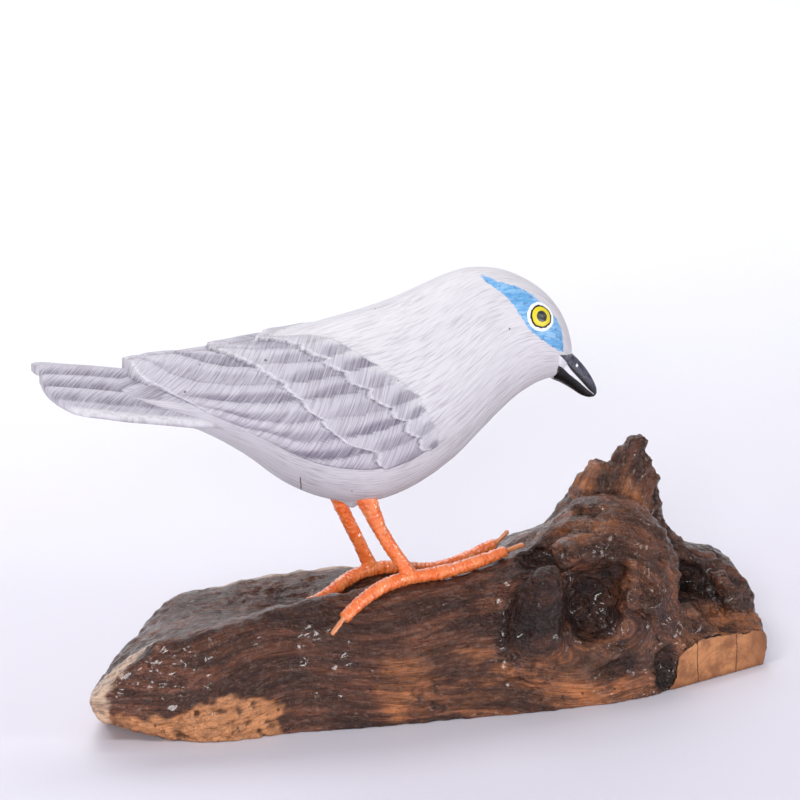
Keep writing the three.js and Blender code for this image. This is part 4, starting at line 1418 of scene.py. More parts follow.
def smooth_path(path: Array, count: int) -> Array:
    """A Catmull-Rom curve through the points of a path, with any number of columns.

    Args:
        path: The points that the curve goes through, one row each.
        count: Number of points to read on the curve.

    Returns:
        The points on the curve.
    """
    ends = np.vstack([2 * path[0] - path[1], path, 2 * path[-1] - path[-2]])
    place = np.linspace(0.0, len(path) - 1.0, count)
    first = np.clip(np.floor(place).astype(int), 0, len(path) - 2)
    return catmull_rom([ends[first + k] for k in range(4)], (place - first)[:, None])


def rod(path: Array, radii: Array, sides: int = 24) -> Surface:
    """A closed round rod along a path, with a dome at each end.

    Args:
        path: Points of the middle line.
        radii: A radius for each point.
        sides: Points in each ring.

    Returns:
        The rod's surface.
    """
    tangent = np.gradient(path, axis=0)
    tangent /= np.linalg.norm(tangent, axis=1, keepdims=True)
    across = np.cross(tangent, RING_START)
    across /= np.linalg.norm(across, axis=1, keepdims=True)
    other = np.cross(tangent, across)
    angle = np.linspace(0.0, 2 * np.pi, sides, endpoint=False)
    spin = np.cos(angle)[None, :, None] * across[:, None] + np.sin(angle)[None, :, None] * other[:, None]
    rings = path[:, None] + radii[:, None, None] * spin
    start, end = (tangent[k] * radii[k] * DOME * sign for k, sign in ((0, -1.0), (-1, 1.0)))
    shoulders = [path[k] + tip * 0.7 + radii[k] * 0.62 * spin[k] for k, tip in ((0, start), (-1, end))]
    rings = np.concatenate([shoulders[0][None], rings, shoulders[1][None]])
    points, faces = capped(rings, path[0] + start, path[-1] + end)
    return Surface(points, faces).outwards()


class Signal:
    """A node's output, whose arithmetic adds math nodes."""

    def __init__(self, nodes: Nodes, socket: bpy.types.NodeSocket) -> None:
        """Keeps the output and the builder of its tree."""
        self.nodes = nodes
        self.socket = socket

    def __add__(self, other: Signal | float) -> Signal:
        """The sum of both."""
        return self.nodes.math("ADD", self, other)

    def __sub__(self, other: Signal | float) -> Signal:
        """This less the other."""
        return self.nodes.math("SUBTRACT", self, other)

    def __rsub__(self, other: float) -> Signal:
        """A number less this."""
        return self.nodes.math("SUBTRACT", other, self)

    def __mul__(self, other: Signal | float) -> Signal:
        """The product of both."""
        return self.nodes.math("MULTIPLY", self, other)

    def __truediv__(self, other: Signal | float) -> Signal:
        """This divided by the other."""
        return self.nodes.math("DIVIDE", self, other)

    def __rtruediv__(self, other: float) -> Signal:
        """A number divided by this."""
        return self.nodes.math("DIVIDE", other, self)

    def __abs__(self) -> Signal:
        """The value without its sign."""
        return self.nodes.math("ABSOLUTE", self)

    def clamped(self) -> Signal:
        """Keeps the last sum or product between 0 and 1."""
        self.socket.node.use_clamp = True
        return self

    def step(self, low: float, high: float) -> Signal:
        """Rises softly from 0 to 1 as the value goes from low to high; it falls where low is the larger.

        Args:
            low: Value where the result is 0.
            high: Value where it is 1.

        Returns:
            The result.
        """
        falls = float(low > high)
        return self.nodes.out("ShaderNodeMapRange", {
            "Value": self, "From Min": min(low, high), "From Max": max(low, high),
            "To Min": falls, "To Max": 1.0 - falls,
        }, interpolation_type="SMOOTHSTEP")

    def noise(self, scale: float, detail: float = 3.0, rough: float = 0.5) -> Signal:
        """A noise of about 0 to 1 over this place."""
        values = {"Vector": self, "Scale": scale, "Detail": detail, "Roughness": rough}
        return self.nodes.out("ShaderNodeTexNoise", values)

    def apart(self) -> list[Signal]:
        """The X, Y and Z of this vector."""
        return [Signal(self.nodes, out) for out in self.nodes.add("ShaderNodeSeparateXYZ", {0: self}).outputs]

    def distance(self, centre: tuple[float, ...]) -> Signal:
        """How far this place is from a point."""
        return self.nodes.out("ShaderNodeVectorMath", {0: self, 1: centre}, "Value", operation="DISTANCE")


Inputs = dict[str | int, object]
Layers = list[tuple[Signal, object]]


class Nodes:
    """Adds the nodes of one tree and links them."""

    def __init__(self, tree: bpy.types.NodeTree) -> None:
        """Keeps the tree that nodes are added to."""
        self.tree = tree

    def add(self, kind: str, inputs: Inputs | None = None, **settings: object) -> bpy.types.Node:
        """Adds a node.

        Args:
            kind: Blender's name for this kind of node.
            inputs: What its inputs are linked or set to, by name or number.
            settings: Its options.

        Returns:
            The node.
        """
        node = self.tree.nodes.new(kind)
        for name, value in settings.items():
            setattr(node, name, value)
        self.feed(node, inputs or {})
        return node

    def feed(self, node: bpy.types.Node, inputs: Inputs) -> None:
        """Links a node's inputs to outputs, or sets their own values.

        Args:
            node: The node.
            inputs: An output or a value for each input, by name or number.
        """
        for name, value in inputs.items():
            if isinstance(value, Signal):
                value = value.socket
            if isinstance(value, bpy.types.NodeSocket):
                self.tree.links.new(value, node.inputs[name])
            else:
                node.inputs[name].default_value = value

    def out(self, kind: str, inputs: Inputs | None = None, output: str | int = 0,
            **settings: object) -> Signal:
        """Adds a node and takes one of its outputs."""
        return Signal(self, self.add(kind, inputs, **settings).outputs[output])

    def math(self, operation: str, *values: Signal | float) -> Signal:
        """Adds a math node over outputs or numbers."""
        return self.out("ShaderNodeMath", dict(enumerate(values)), operation=operation)

    def most(self, *masks: Signal) -> Signal:
        """The largest of some masks.

        Args:
            masks: The masks.

        Returns:
            Their maximum.
        """
        first, *others = masks
        for other in others:
            first = self.math("MAXIMUM", first, other)
        return first

    def mix(self, share: Signal, first: object, second: object) -> Signal:
        """Mixes two colours."""
        return self.out("ShaderNodeMix", {0: share, 6: first, 7: second}, 2, data_type="RGBA")

    def layered(self, colour: object, layers: Layers) -> Signal:
        """Lays colours over a first one, each by its own mask.

        Args:
            colour: The first colour.
            layers: Masks and colours, the lowest first.

        Returns:
            The colour of all layers.
        """
        for mask, over in layers:
            colour = self.mix(mask, colour, over)
        return colour

    def value(self, name: str, output: str = "Fac") -> Signal:
        """Reads a point attribute of the piece."""
        return self.out("ShaderNodeAttribute", None, output, attribute_type="GEOMETRY", attribute_name=name)

    def place(self, output: str = "Object") -> Signal:
        """Object coordinates, in metres, or another kind."""
        return self.out("ShaderNodeTexCoord", None, output)

    def together(self, x: Signal, y: Signal, z: Signal) -> Signal:
        """Joins three numbers into a vector."""
        return self.out("ShaderNodeCombineXYZ", {0: x, 1: y, 2: z})

    def group(self, tree: bpy.types.NodeTree, inputs: Inputs) -> dict[str, Signal]:
        """Places a shader node group and gives its outputs by name."""
        node = self.add("ShaderNodeGroup", inputs, node_tree=tree)
        return {out.name: Signal(self, out) for out in node.outputs}

    def bump(self, strength: float, depth: float, height: Signal, under: Signal | None = None) -> Signal:
        """Adds a bump of a depth in millimetres, over another normal where one is given.

        Args:
            strength: Strength of the bump, 0 to 1.
            depth: Depth of the relief in millimetres.
            height: Height of the relief.
            under: Normal of a bump under this one.

        Returns:
            The normal.
        """
        inputs = {"Strength": strength, "Distance": depth * MM, "Height": height}
        if under is not None:
            inputs["Normal"] = under
        return self.out("ShaderNodeBump", inputs)


class WrapTree:
    """Geometry nodes that lay rings of putty along a curve, as on a wrapped wire."""

    def __init__(self) -> None:
        """Builds the tree with named inputs for its sizes."""
        self.tree = bpy.data.node_groups.new("putty_wraps", "GeometryNodeTree")
        face = self.tree.interface
        face.new_socket("Geometry", in_out="INPUT", socket_type="NodeSocketGeometry")
        self.inputs = {
            name: face.new_socket(name, in_out="INPUT", socket_type=f"NodeSocket{kind}").identifier
            for name, kind in (("Spacing", "Float"), ("Ring radius", "Float"), ("Bead radius", "Float"),
                               ("Tilt", "Float"), ("Seed", "Int"), ("Material", "Material"))
        }
        face.new_socket("Geometry", in_out="OUTPUT", socket_type="NodeSocketGeometry")
        nodes = Nodes(self.tree)
        given = nodes.add("NodeGroupInput").outputs
        spans = {"Curve": given["Geometry"], "Length": given["Spacing"]}
        spaced = nodes.out("GeometryNodeResampleCurve", spans, mode="LENGTH")
        ring, bead = (
            nodes.out("GeometryNodeCurvePrimitiveCircle", {"Resolution": sides, "Radius": given[size]})
            for sides, size in ((20, "Ring radius"), (6, "Bead radius"))
        )
        torus = nodes.out("GeometryNodeCurveToMesh", {"Curve": ring, "Profile Curve": bead})
        tangent = nodes.out("GeometryNodeInputTangent")
        aligned = nodes.out("FunctionNodeAlignRotationToVector", {"Vector": tangent}, axis="Z")
        least = nodes.math("MULTIPLY", given["Tilt"], -1.0)
        tilts = {"Min": least, "Max": given["Tilt"], "Seed": given["Seed"]}
        tilt = nodes.out("FunctionNodeRandomValue", tilts, data_type="FLOAT_VECTOR")
        as_turn = nodes.out("FunctionNodeEulerToRotation", {"Euler": tilt})
        turned = nodes.out("FunctionNodeRotateRotation", {"Rotation": aligned, "Rotate By": as_turn},
                           rotation_space="LOCAL")
        placed = nodes.out("GeometryNodeInstanceOnPoints", {
            "Points": spaced, "Instance": torus, "Rotation": turned,
            "Scale": nodes.out("GeometryNodeInputRadius"),
        })
        real = nodes.out("GeometryNodeRealizeInstances", {"Geometry": placed})
        dressed = nodes.out("GeometryNodeSetMaterial", {"Geometry": real, "Material": given["Material"]})
        nodes.add("NodeGroupOutput", {"Geometry": dressed})

    def rings(self, path: Array, radii: Array, seed: int, bead: float,
              finish: bpy.types.Material) -> bpy.types.Object:
        """Lays the rings along a path.

        Args:
            path: Points of the path in millimetres.
            radii: Radius of the rod at each point, in millimetres.
            seed: Seed of the rings' tilts.
            bead: Radius of the putty in each ring, in millimetres.
            finish: Material of the rings.

        Returns:
            A plain mesh object of all rings.
        """
        curve = bpy.data.curves.new("wrap_path", "CURVE")
        curve.dimensions = "3D"
        line = curve.splines.new("POLY")
        line.points.add(len(path) - 1)
        for point, at, radius in zip(line.points, path * MM, radii):
            point.co = (*at, 1.0)
            point.radius = radius
        holder = in_scene("wrap_path", curve)
        wraps = holder.modifiers.new("wraps", "NODES")
        wraps.node_group = self.tree
        sizes = {"Spacing": 1.5 * MM, "Ring radius": 0.9 * MM, "Bead radius": bead * MM, "Tilt": 0.25}
        for name, value in {**sizes, "Seed": seed, "Material": finish}.items():
            wraps[self.inputs[name]] = value
        mesh = plain_mesh(holder)
        removed(holder)
        return in_scene("wraps", mesh)


@dataclass
class Leg:
    """A leg of wrapped and painted wire with two long toes, each with a bare wire claw."""

    name: str
    leg: tuple[Point, ...]
    radii: tuple[float, ...]
    toes: tuple[Pairs, ...]
    claws: tuple[Point, ...]
    seed: int
    leg_points: int = 60
    toe_points: int = 50
    claw_points: int = 14
    wrapped_from: int = 14
    bare_from: int = 6
    rod_share: float = 0.95
    toe_radius: float = 2.3
    toe_lift: float = 0.1
    claw_radius: float = 0.85
    beads: Span = (0.12, 0.2)
    evened: int = 3
    voxel: float = 0.34

    def build(self, wood: Driftwood, wraps: WrapTree, finish: bpy.types.Material) -> bpy.types.Object:
        """Makes the leg with its toes, wraps and claws as one closed mesh.

        Args:
            wood: The driftwood that the toes lie on.
            wraps: The nodes that lay the putty rings.
            finish: The leg's paint.

        Returns:
            The finished mesh object.
        """
        shaft = smooth_path(np.array(self.leg), self.leg_points)
        along = np.linspace(0, 1, self.leg_points)
        width = np.interp(along, np.linspace(0, 1, len(self.radii)), self.radii)
        wrapped = slice(self.wrapped_from, None)
        parts = [rod(shaft, width * self.rod_share).to_object("shaft"),
                 wraps.rings(shaft[wrapped], width[wrapped], self.seed, self.beads[0], finish)]
        claw_paths = []
        taper = self.toe_radius * (1.0 - 0.13 * smooth(0.4, 1.0, np.linspace(0.0, 1.0, self.toe_points)))
        for number, (route, claw) in enumerate(zip(self.toes, self.claws)):
            flat = smooth_path(np.array(route), self.toe_points)
            heights = np.array([wood.top_at(x, y) for x, y in flat])
            span = 2 * self.evened + 1
            padded = np.pad(heights, self.evened, mode="edge")
            heights = np.convolve(padded, np.full(span, 1.0 / span), mode="valid")
            path = np.column_stack([flat, heights + self.toe_radius + self.toe_lift])
            parts.append(rod(path, taper * self.rod_share).to_object("toe"))
            parts.append(wraps.rings(path, taper, self.seed + number + 1, self.beads[1], finish))
            wire = smooth_path(np.array([path[-8], path[-1], np.array(claw)]), self.claw_points)
            parts.append(rod(wire, np.full(self.claw_points, self.claw_radius), 16).to_object("claw"))
            claw_paths.append(wire[self.bare_from:])
        piece = parts[0]
        with bpy.context.temp_override(active_object=piece, selected_editable_objects=parts, object=piece):
            bpy.ops.object.join()
        piece.name = self.name
        remesh = piece.modifiers.new("skin", "REMESH")
        remesh.mode = "VOXEL"
        remesh.voxel_size = self.voxel * MM
        soften = piece.modifiers.new("soften", "SMOOTH")
        soften.factor = 0.5
        soften.iterations = 1
        applied(piece)
        mesh = piece.data
        mesh.name = self.name
        points = mesh_points(mesh)
        noise = Noise(self.seed)
        height = 0.2 * noise.layered(points / 1.3, 2) + 0.16 * noise.layered(points / 4.4, 2)
        set_points(mesh, points + mesh_normals(mesh) * height[:, None])
        bare = np.min([path_distance(points, wire) for wire in claw_paths], axis=0)
        write_values(mesh, {"claw": fall(1.0, 1.5, bare), "height": height})
        mesh.shade_smooth()
        return piece


def new_group(name: str, numbers: dict[str, float],
              outputs: tuple[str, ...]) -> tuple[bpy.types.NodeTree, Nodes, dict[str, Signal]]:
    """Starts a shader node group that reads a vector and some numbers.

    Args:
        name: Name of the group.
        numbers: Its number inputs with their first values.
        outputs: Names of its outputs, all of them plain numbers.

    Returns:
        The group, a builder for its nodes and its inputs by name.
    """
    tree = bpy.data.node_groups.new(name, "ShaderNodeTree")
    tree.interface.new_socket("Vector", in_out="INPUT", socket_type="NodeSocketVector")
    for label, value in numbers.items():
        tree.interface.new_socket(label, in_out="INPUT", socket_type="NodeSocketFloat").default_value = value
    for label in outputs:
        tree.interface.new_socket(label, in_out="OUTPUT", socket_type="NodeSocketFloat")
    nodes = Nodes(tree)
    given = {out.name: Signal(nodes, out) for out in nodes.add("NodeGroupInput").outputs}
    return tree, nodes, given


class StrokeAngle(Enum):
    """Directions of the marks, in radians from the body's length or the grain."""

    ALONG = 0.0
    FALLING = 0.16
    BARBS = 0.98


@dataclass(frozen=True)
class Marks:
    """Long thin marks: size in millimetres, noise levels of their edge and their middle, and turn."""

    width: float
    length: float
    low: float
    high: float
    angle: StrokeAngle = StrokeAngle.ALONG


class Effects:
    """Shader node groups that more than one material uses."""

    def __init__(self) -> None:
        """Builds the groups once."""
        self.strokes = self.make_strokes()
        self.specks = self.make_specks()
        self.ragged = self.make_ragged()

    def make_strokes(self) -> bpy.types.NodeTree:
        """Long thin marks along one direction, as a knife, a brush or wood fibre leaves them.

        Returns:
            The node group.
        """
        tree, nodes, given = new_group("long_marks", {"Angle": 0.0, "Width": 1.0, "Length": 16.0, "Low": 0.45,
                                                      "High": 0.62}, ("Mask", "Height"))
        x, y, z = nodes.out("ShaderNodeVectorRotate", {"Vector": given["Vector"], "Angle": given["Angle"]},
                            rotation_type="Z_AXIS").apart()
        marks = nodes.out("ShaderNodeTexNoise", {
            "Vector": nodes.together(x / given["Length"], y / given["Width"], z / given["Width"]),
            "Scale": PER_METRE, "Detail": 2.5, "Roughness": 0.6, "Distortion": 0.15,
        })
        ends = {"From Min": given["Low"], "From Max": given["High"]}
        mask = nodes.out("ShaderNodeMapRange", {"Value": marks, **ends}, interpolation_type="SMOOTHSTEP")
        nodes.add("NodeGroupOutput", {"Mask": mask, "Height": marks})
        return tree

    def make_specks(self) -> bpy.types.NodeTree:
        """Small separate dots: pores, dust and spatter.

        Returns:
            The node group.
        """
        tree, nodes, given = new_group("specks", {"Pitch": 4.0, "Size": 0.1, "Share": 0.3}, ("Mask",))
        scaled = nodes.out("ShaderNodeVectorMath", {0: given["Vector"], "Scale": PER_METRE / given["Pitch"]},
                           operation="SCALE")
        cells = nodes.add("ShaderNodeTexVoronoi", {"Vector": scaled, "Scale": 1.0}).outputs
        chance, size, _ = (Signal(nodes, out)
                           for out in nodes.add("ShaderNodeSeparateColor", {0: cells["Color"]}).outputs)
        near = (1.0 - Signal(nodes, cells["Distance"]) / (given["Size"] * (size + 0.4))).clamped()
        mask = nodes.math("LESS_THAN", chance, given["Share"]) * (near * 2.5).clamped()
        nodes.add("NodeGroupOutput", {"Mask": mask})
        return tree

    def make_ragged(self) -> bpy.types.NodeTree:
        """The inside of an outline with a hand-painted, slightly ragged edge.

        Returns:
            The node group.
        """
        tree, nodes, given = new_group("ragged_edge", {"Distance": 0.0, "Wander": 0.5, "Softness": 0.15},
                                       ("Mask",))
        wave = given["Vector"].noise(700.0, 3.0, 0.6) - 0.5
        moved = wave * (given["Wander"] * 2.0) + given["Distance"]
        nodes.add("NodeGroupOutput", {"Mask": (0.5 - moved / given["Softness"]).clamped()})
        return tree

    def marks(self, place: Signal, kind: Marks) -> tuple[Signal, Signal]:
        """Lays long marks over a place and gives their mask and their height.

        Args:
            place: Coordinates that the marks follow, in metres.
            kind: Size, noise levels and turn of the marks.

        Returns:
            The mask and the height.
        """
        laid = place.nodes.group(self.strokes, {
            "Vector": place, "Angle": kind.angle.value, "Width": kind.width, "Length": kind.length,
            "Low": kind.low, "High": kind.high,
        })
        return laid["Mask"], laid["Height"]

    def dots(self, place: Signal, pitch: float, size: float, share: float) -> Signal:
        """Scatters small dots over a place and gives their mask."""
        sizes = {"Vector": place, "Pitch": pitch, "Size": size, "Share": share}
        return place.nodes.group(self.specks, sizes)["Mask"]

    def inside(self, place: Signal, distance: Signal, wander: float, softness: float) -> Signal:
        """Mask of the inside of an outline, from the distance to it."""
        edge = {"Vector": place, "Distance": distance, "Wander": wander, "Softness": softness}
        return place.nodes.group(self.ragged, edge)["Mask"]


def new_material(name: str) -> tuple[bpy.types.Material, Nodes, bpy.types.Node]:
    """Starts a material.

    Args:
        name: Name of the material.

    Returns:
        The material, a builder for its nodes and its Principled BSDF.
    """
    material = bpy.data.materials.new(name)
    material.use_nodes = True
    return material, Nodes(material.node_tree), material.node_tree.nodes["Principled BSDF"]


@dataclass(frozen=True)
class CarvedPaint:
    """The bird's finish: white paint over knife cuts, grey washes and dark lines that are partly painted
    shade, blue patch, ringed eye with a painted glint, black bill with a painted sheen on its upper half.
    """

    light: Colour = paint(210, 207, 213)
    shade: Colour = paint(146, 138, 150)
    feather: Colour = paint(175, 170, 184)
    wash_and_shade: Colour = paint(100, 93, 111)
    ink_and_shade: Colour = paint(96, 91, 104)
    blue: Colour = paint(84, 154, 208)
    blue_pale: Colour = paint(140, 188, 226)
    blue_deep: Colour = paint(52, 108, 168)
    black: Colour = paint(7, 7, 12)
    gap: Colour = paint(226, 224, 232)
    # grey of the painted glint in the middle of the pupil
    highlight_grey: Colour = paint(120, 116, 128)
    # lilac of the painted sheen on the bill's upper half
    sheen_lilac: Colour = paint(88, 86, 106)
    yellow: Colour = paint(222, 205, 30)
    white: Colour = paint(244, 244, 248)
    brown: Colour = paint(94, 66, 60)
    knife: Marks = Marks(0.6, 11.0, 0.47, 0.66)
    brush: Marks = Marks(0.34, 7.0, 0.48, 0.66, StrokeAngle.FALLING)
    barbs: Marks = Marks(0.46, 10.0, 0.46, 0.6, StrokeAngle.BARBS)
    scrape: Marks = Marks(0.5, 14.0, 0.53, 0.66, StrokeAngle.BARBS)
    dabs: Marks = Marks(0.9, 5.0, 0.4, 0.66, StrokeAngle.FALLING)
    rings: Pairs = ((4.9, 0.35), (3.95, 0.45), (3.35, 0.3), (1.95, 0.22))
    crack_at: Span = (-45.7, 80.4)
    crack_slant: float = -0.384
    nostril_at: Span = (51.6, 109.3)
    sheen_slant: float = 0.96
    sheen_from: float = 155.6

    def build(self, effects: Effects, bird: BirdCarving) -> bpy.types.Material:
        """Makes the material.

        Args:
            effects: The shared node groups.
            bird: The bird, for the place of its eye.

        Returns:
            The material.
        """
        material, nodes, shader = new_material("white_paint")
        place, surface = nodes.place(), nodes.value("surface", "Vector")
        feathered = nodes.value("feathered")
        plain = 1.0 - feathered
        knife, knife_height = effects.marks(surface, self.knife)
        brush, _ = effects.marks(surface, self.brush)
        barbs, barbs_height = effects.marks(surface, self.barbs)
        scrape, _ = effects.marks(surface, self.scrape)
        dabs, _ = effects.marks(surface, self.dabs)
        clouds = place.noise(55.0).step(0.3, 0.7)
        low = place.apart()[2].step(0.125, 0.085)
        lines = (knife * 0.5 + brush * 0.4) * (clouds * 0.5 + 0.5) * (low * 0.35 + 0.85)
        broken = surface.noise(900.0).step(0.36, 0.6) * 0.85
        flecks = surface.noise(700.0).step(0.4, 0.6)
        edge = nodes.value("pale") * (flecks * 0.7 + 0.25)
        specks = effects.dots(place, 7.0, 0.06, 0.25) * 0.85
        deep = place.noise(420.0).step(0.56, 0.66)
        blue = nodes.layered(self.blue, [(dabs, self.blue_pale), (deep * 0.7, self.blue_deep)])
        colour = nodes.layered(self.light, [
            (feathered * 0.7, self.feather),
            (lines * plain, self.shade),
            (barbs * 0.6 * feathered, self.shade),
            # grey wash on the feathers, partly painted shade on their lower parts
            ((nodes.value("wash_and_shade") * (clouds * 0.25 + 0.8) * (barbs * 0.3 + 0.7)).clamped(), self.wash_and_shade),
            # dark lines in the cuts and behind the steps: dark paint and painted shade together
            ((nodes.value("ink_and_shade") * broken).clamped(), self.ink_and_shade),
            (nodes.most(edge, scrape * feathered * 0.45), self.light),
            (nodes.most(specks, self.belly_crack(place)), self.brown),
            (effects.inside(place, nodes.value("patch"), 0.9, 0.3) * 0.97, blue),
        ])
        colour, eye = self.eye(effects, place, bird, colour)
        black = effects.inside(place, nodes.value("bill"), 0.5, 0.2)
        colour = nodes.layered(colour, [
            (black, nodes.mix(self.bill_sheen(place), self.black, self.sheen_lilac)),
            (nodes.value("gape").step(0.15, -0.15) * black, self.gap),
            (self.nostril(place), self.white),
        ])
        rough = (place.noise(300.0) * 0.2 + 0.38) * (1.0 - nodes.most(black, eye) * 0.45)
        cuts = barbs_height * feathered * -0.8 + knife_height * -1.0 * plain
        normal = nodes.bump(0.35, 0.12, place.noise(1600.0, 4.0), nodes.bump(0.45, 0.4, cuts))
        nodes.feed(shader, {"Base Color": colour, "Roughness": rough, "Normal": normal})
        return material

    def eye(self, effects: Effects, place: Signal, bird: BirdCarving,
            colour: Signal) -> tuple[Signal, Signal]:
        """Paints the ringed eye, the same on both sides of the head.

        Args:
            effects: The shared node groups.
            place: Object coordinates.
            bird: The bird, for the place of its eye.
            colour: Colour of the head without the eye.

        Returns:
            The colour with the eye on it, and a mask of the eye for its gloss.
        """
        x, y, z = place.apart()
        nodes = place.nodes
        squeezed = nodes.together(x / bird.eye_stretch, abs(y), z)
        centre = (bird.eye[0] * MM / bird.eye_stretch, bird.eye[1] * MM, bird.eye[2] * MM)
        away = squeezed.distance(centre) * PER_METRE
        for (radius, wander), tone in zip(self.rings, (self.white, self.black, self.yellow, self.black)):
            colour = nodes.mix(effects.inside(place, away - radius, wander, 0.12), colour, tone)
        # a grey patch in the middle of the pupil is a painted glint
        colour = nodes.mix(away.step(1.15, 0.5) * 0.14, colour, self.highlight_grey)
        return colour, away.step(3.9, 3.5)

    def bill_sheen(self, place: Signal) -> Signal:
        """Mask of the painted sheen on the upper half of the bill, a paler lilac over the black.

        Args:
            place: Object coordinates.

        Returns:
            The mask, 0 to 1.
        """
        x, _, z = place.apart()
        high = (x * self.sheen_slant + z).step(self.sheen_from * MM, (self.sheen_from + 2.5) * MM)
        return high * (place.noise(800.0).step(0.36, 0.6) * 0.5 + 0.3)

    def nostril(self, place: Signal) -> Signal:
        """Mask of the small white dot on each side of the bill.

        Args:
            place: Object coordinates.

        Returns:
            The mask, 0 to 1.
        """
        x, _, z = place.apart()
        dx, dz = x - self.nostril_at[0] * MM, z - self.nostril_at[1] * MM
        return place.nodes.math("SQRT", dx * dx + dz * dz).step(0.65 * MM, 0.4 * MM)

    def belly_crack(self, place: Signal) -> Signal:
        """Mask of the thin upright crack in the belly, on the bird's right side.

        Args:
            place: Object coordinates.

        Returns:
            The mask, 0 to 1.
        """
        x, y, z = place.apart()
        wave = (place.noise(300.0, 2.0) - 0.5) * (0.5 * MM)
        line = abs(y * self.crack_slant + x - self.crack_at[0] * MM + wave).step(0.3 * MM, 0.1 * MM)
        ends = abs(z - self.crack_at[1] * MM).step(4.2 * MM, 3.2 * MM)
        return line * ends * place.nodes.math("LESS_THAN", y, 0.0)


@dataclass(frozen=True)
class VarnishedWood:
    """The driftwood's finish: dark root wood with orange-brown grain under glossy varnish."""

    dark: Colour = paint(44, 25, 20)
    brown: Colour = paint(110, 66, 48)
    orange: Colour = paint(208, 130, 78)
    # paler colour of the painted glints on the wood's flecks and raised tops, and of the eye's glint
    highlight_grey: Colour = paint(156, 122, 108)
    # colour of the painted shade in the hollows and dents, also used for the dark pores
    shaded_hollow: Colour = paint(22, 14, 15)
    pale: Colour = paint(214, 184, 160)
    raw: Colour = paint(206, 142, 96)
    cut: Colour = paint(188, 128, 84)
    cut_dark: Colour = paint(118, 72, 46)
    wide: Marks = Marks(5.5, 60.0, 0.38, 0.6)
    thin: Marks = Marks(1.5, 26.0, 0.44, 0.58)
    hair: Marks = Marks(0.5, 9.0, 0.47, 0.6)
    smoke: Marks = Marks(11.0, 30.0, 0.48, 0.6)
    flecks: Marks = Marks(0.9, 2.4, 0.52, 0.62)
    cracks_at: Span = (87.2, 104.6)
    rings_from: Point = (99.0, -22.0, -7.0)
    dark_ring: float = 18.0
    coat: float = 0.22

    def build(self, effects: Effects) -> bpy.types.Material:
        """Makes the material with the shared node groups.

        Args:
            effects: The shared node groups.

        Returns:
            The material.
        """
        material, nodes, shader = new_material("varnished_driftwood")
        place, grain, height = nodes.place(), nodes.value("grain", "Vector"), nodes.value("height")
        raw, gnarled, shaded_hollow, cut = (nodes.value(name) for name in ("raw", "gnarled", "shaded_hollow", "cut"))
        wide, _ = effects.marks(grain, self.wide)
        thin, thin_height = effects.marks(grain, self.thin)
        hair, hair_height = effects.marks(grain, self.hair)
        smoke, _ = effects.marks(grain, self.smoke)
        flecks, _ = effects.marks(grain, self.flecks)
        patches = place.noise(60.0, 4.0, 0.6).step(0.4, 0.6)
        warm = (nodes.value("orange") * (patches * 0.8 + 0.2)).clamped()
        lined = 1.0 - nodes.most(gnarled, raw, nodes.value("splinter")) * 0.5
        tone = nodes.layered(self.brown, [
            (wide * 0.8, self.dark),
            (warm * (1.0 - wide * 0.65), self.orange),
            (smoke * 0.62, self.dark),
            (raw * 0.85, self.raw),
            # pale flecks, part dust and part painted glints
            (flecks * 0.22, self.highlight_grey),
            (thin * 0.52 * lined, self.dark),
            (hair * 0.42 * lined, self.dark),
            # painted shade: the dents of the relief and the hollows are darkened
            (height.step(-0.15, -1.2) * 0.7, self.shaded_hollow),
            (shaded_hollow * 0.82, self.shaded_hollow),
            # the tops of the raised relief are painted paler, as painted highlight
            (height.step(0.5, 1.5) * 0.18, self.highlight_grey),
            (nodes.value("worn") * (1.0 - thin * 0.5) * 0.85, self.pale),
            (effects.dots(grain, 2.4, 0.22, 0.35) * 0.6, self.shaded_hollow),
            (cut, self.saw_face(effects, place)),
        ])
        gloss = place.noise(500.0, 4.0, 0.65).step(0.38, 0.62)
        dull = nodes.most(cut, raw * 0.5)
        keep = 1.0 - cut * 0.85
        rugged = keep * (nodes.most(shaded_hollow, gnarled) * 1.1 + 1.1)
        normal = nodes.bump(0.8, 1.0, (thin_height * 1.3 + hair_height * 0.3) * keep)
        normal = nodes.bump(0.8, 1.4, place.noise(480.0, 2.0) * rugged, normal)
        normal = nodes.bump(0.8, 0.5, place.noise(1500.0, 2.0) * rugged, normal)
        nodes.feed(shader, {
            "Base Color": tone, "Normal": normal,
            "Roughness": (dull * 0.25 + (gloss * 0.14 + 0.11)).clamped(),
            "Coat Weight": (self.coat - dull * self.coat).clamped(),
            "Coat Roughness": 0.13, "Specular IOR Level": 0.24,
        })
        return material

    def saw_face(self, effects: Effects, place: Signal) -> Signal:
        """Colour of the sawn face, with its two cracks, its faint rings and its dark pores.

        Args:
            effects: The shared node groups.
            place: Object coordinates.

        Returns:
            The colour.
        """
        nodes = place.nodes
        x, _, z = place.apart()
        middle = tuple(value * MM for value in self.rings_from)
        wave = place.noise(120.0) - 0.5
        turns = (wave * (3.0 * MM) + place.distance(middle)) * PER_METRE
        bent = x + wave * (2.4 * MM)
        return nodes.layered(self.cut, [
            (abs(nodes.math("SINE", turns * 1.5)).step(0.5, 0.0) * 0.22, self.cut_dark),
            (abs(turns - self.dark_ring).step(0.5, 0.15) * 0.35, self.cut_dark),
            (place.noise(150.0, 5.0, 0.6).step(0.4, 0.68) * 0.75, self.cut_dark),
            (nodes.most(z.step(2.6 * MM, 0.4 * MM), x.step(0.104, 0.117)) * 0.6, self.cut_dark),
            *((abs(bent - at * MM).step(0.34 * MM, 0.1 * MM) * 0.8, self.dark) for at in self.cracks_at),
            (effects.dots(place, 1.8, 0.2, 0.45) * 0.7, self.cut_dark),
        ])


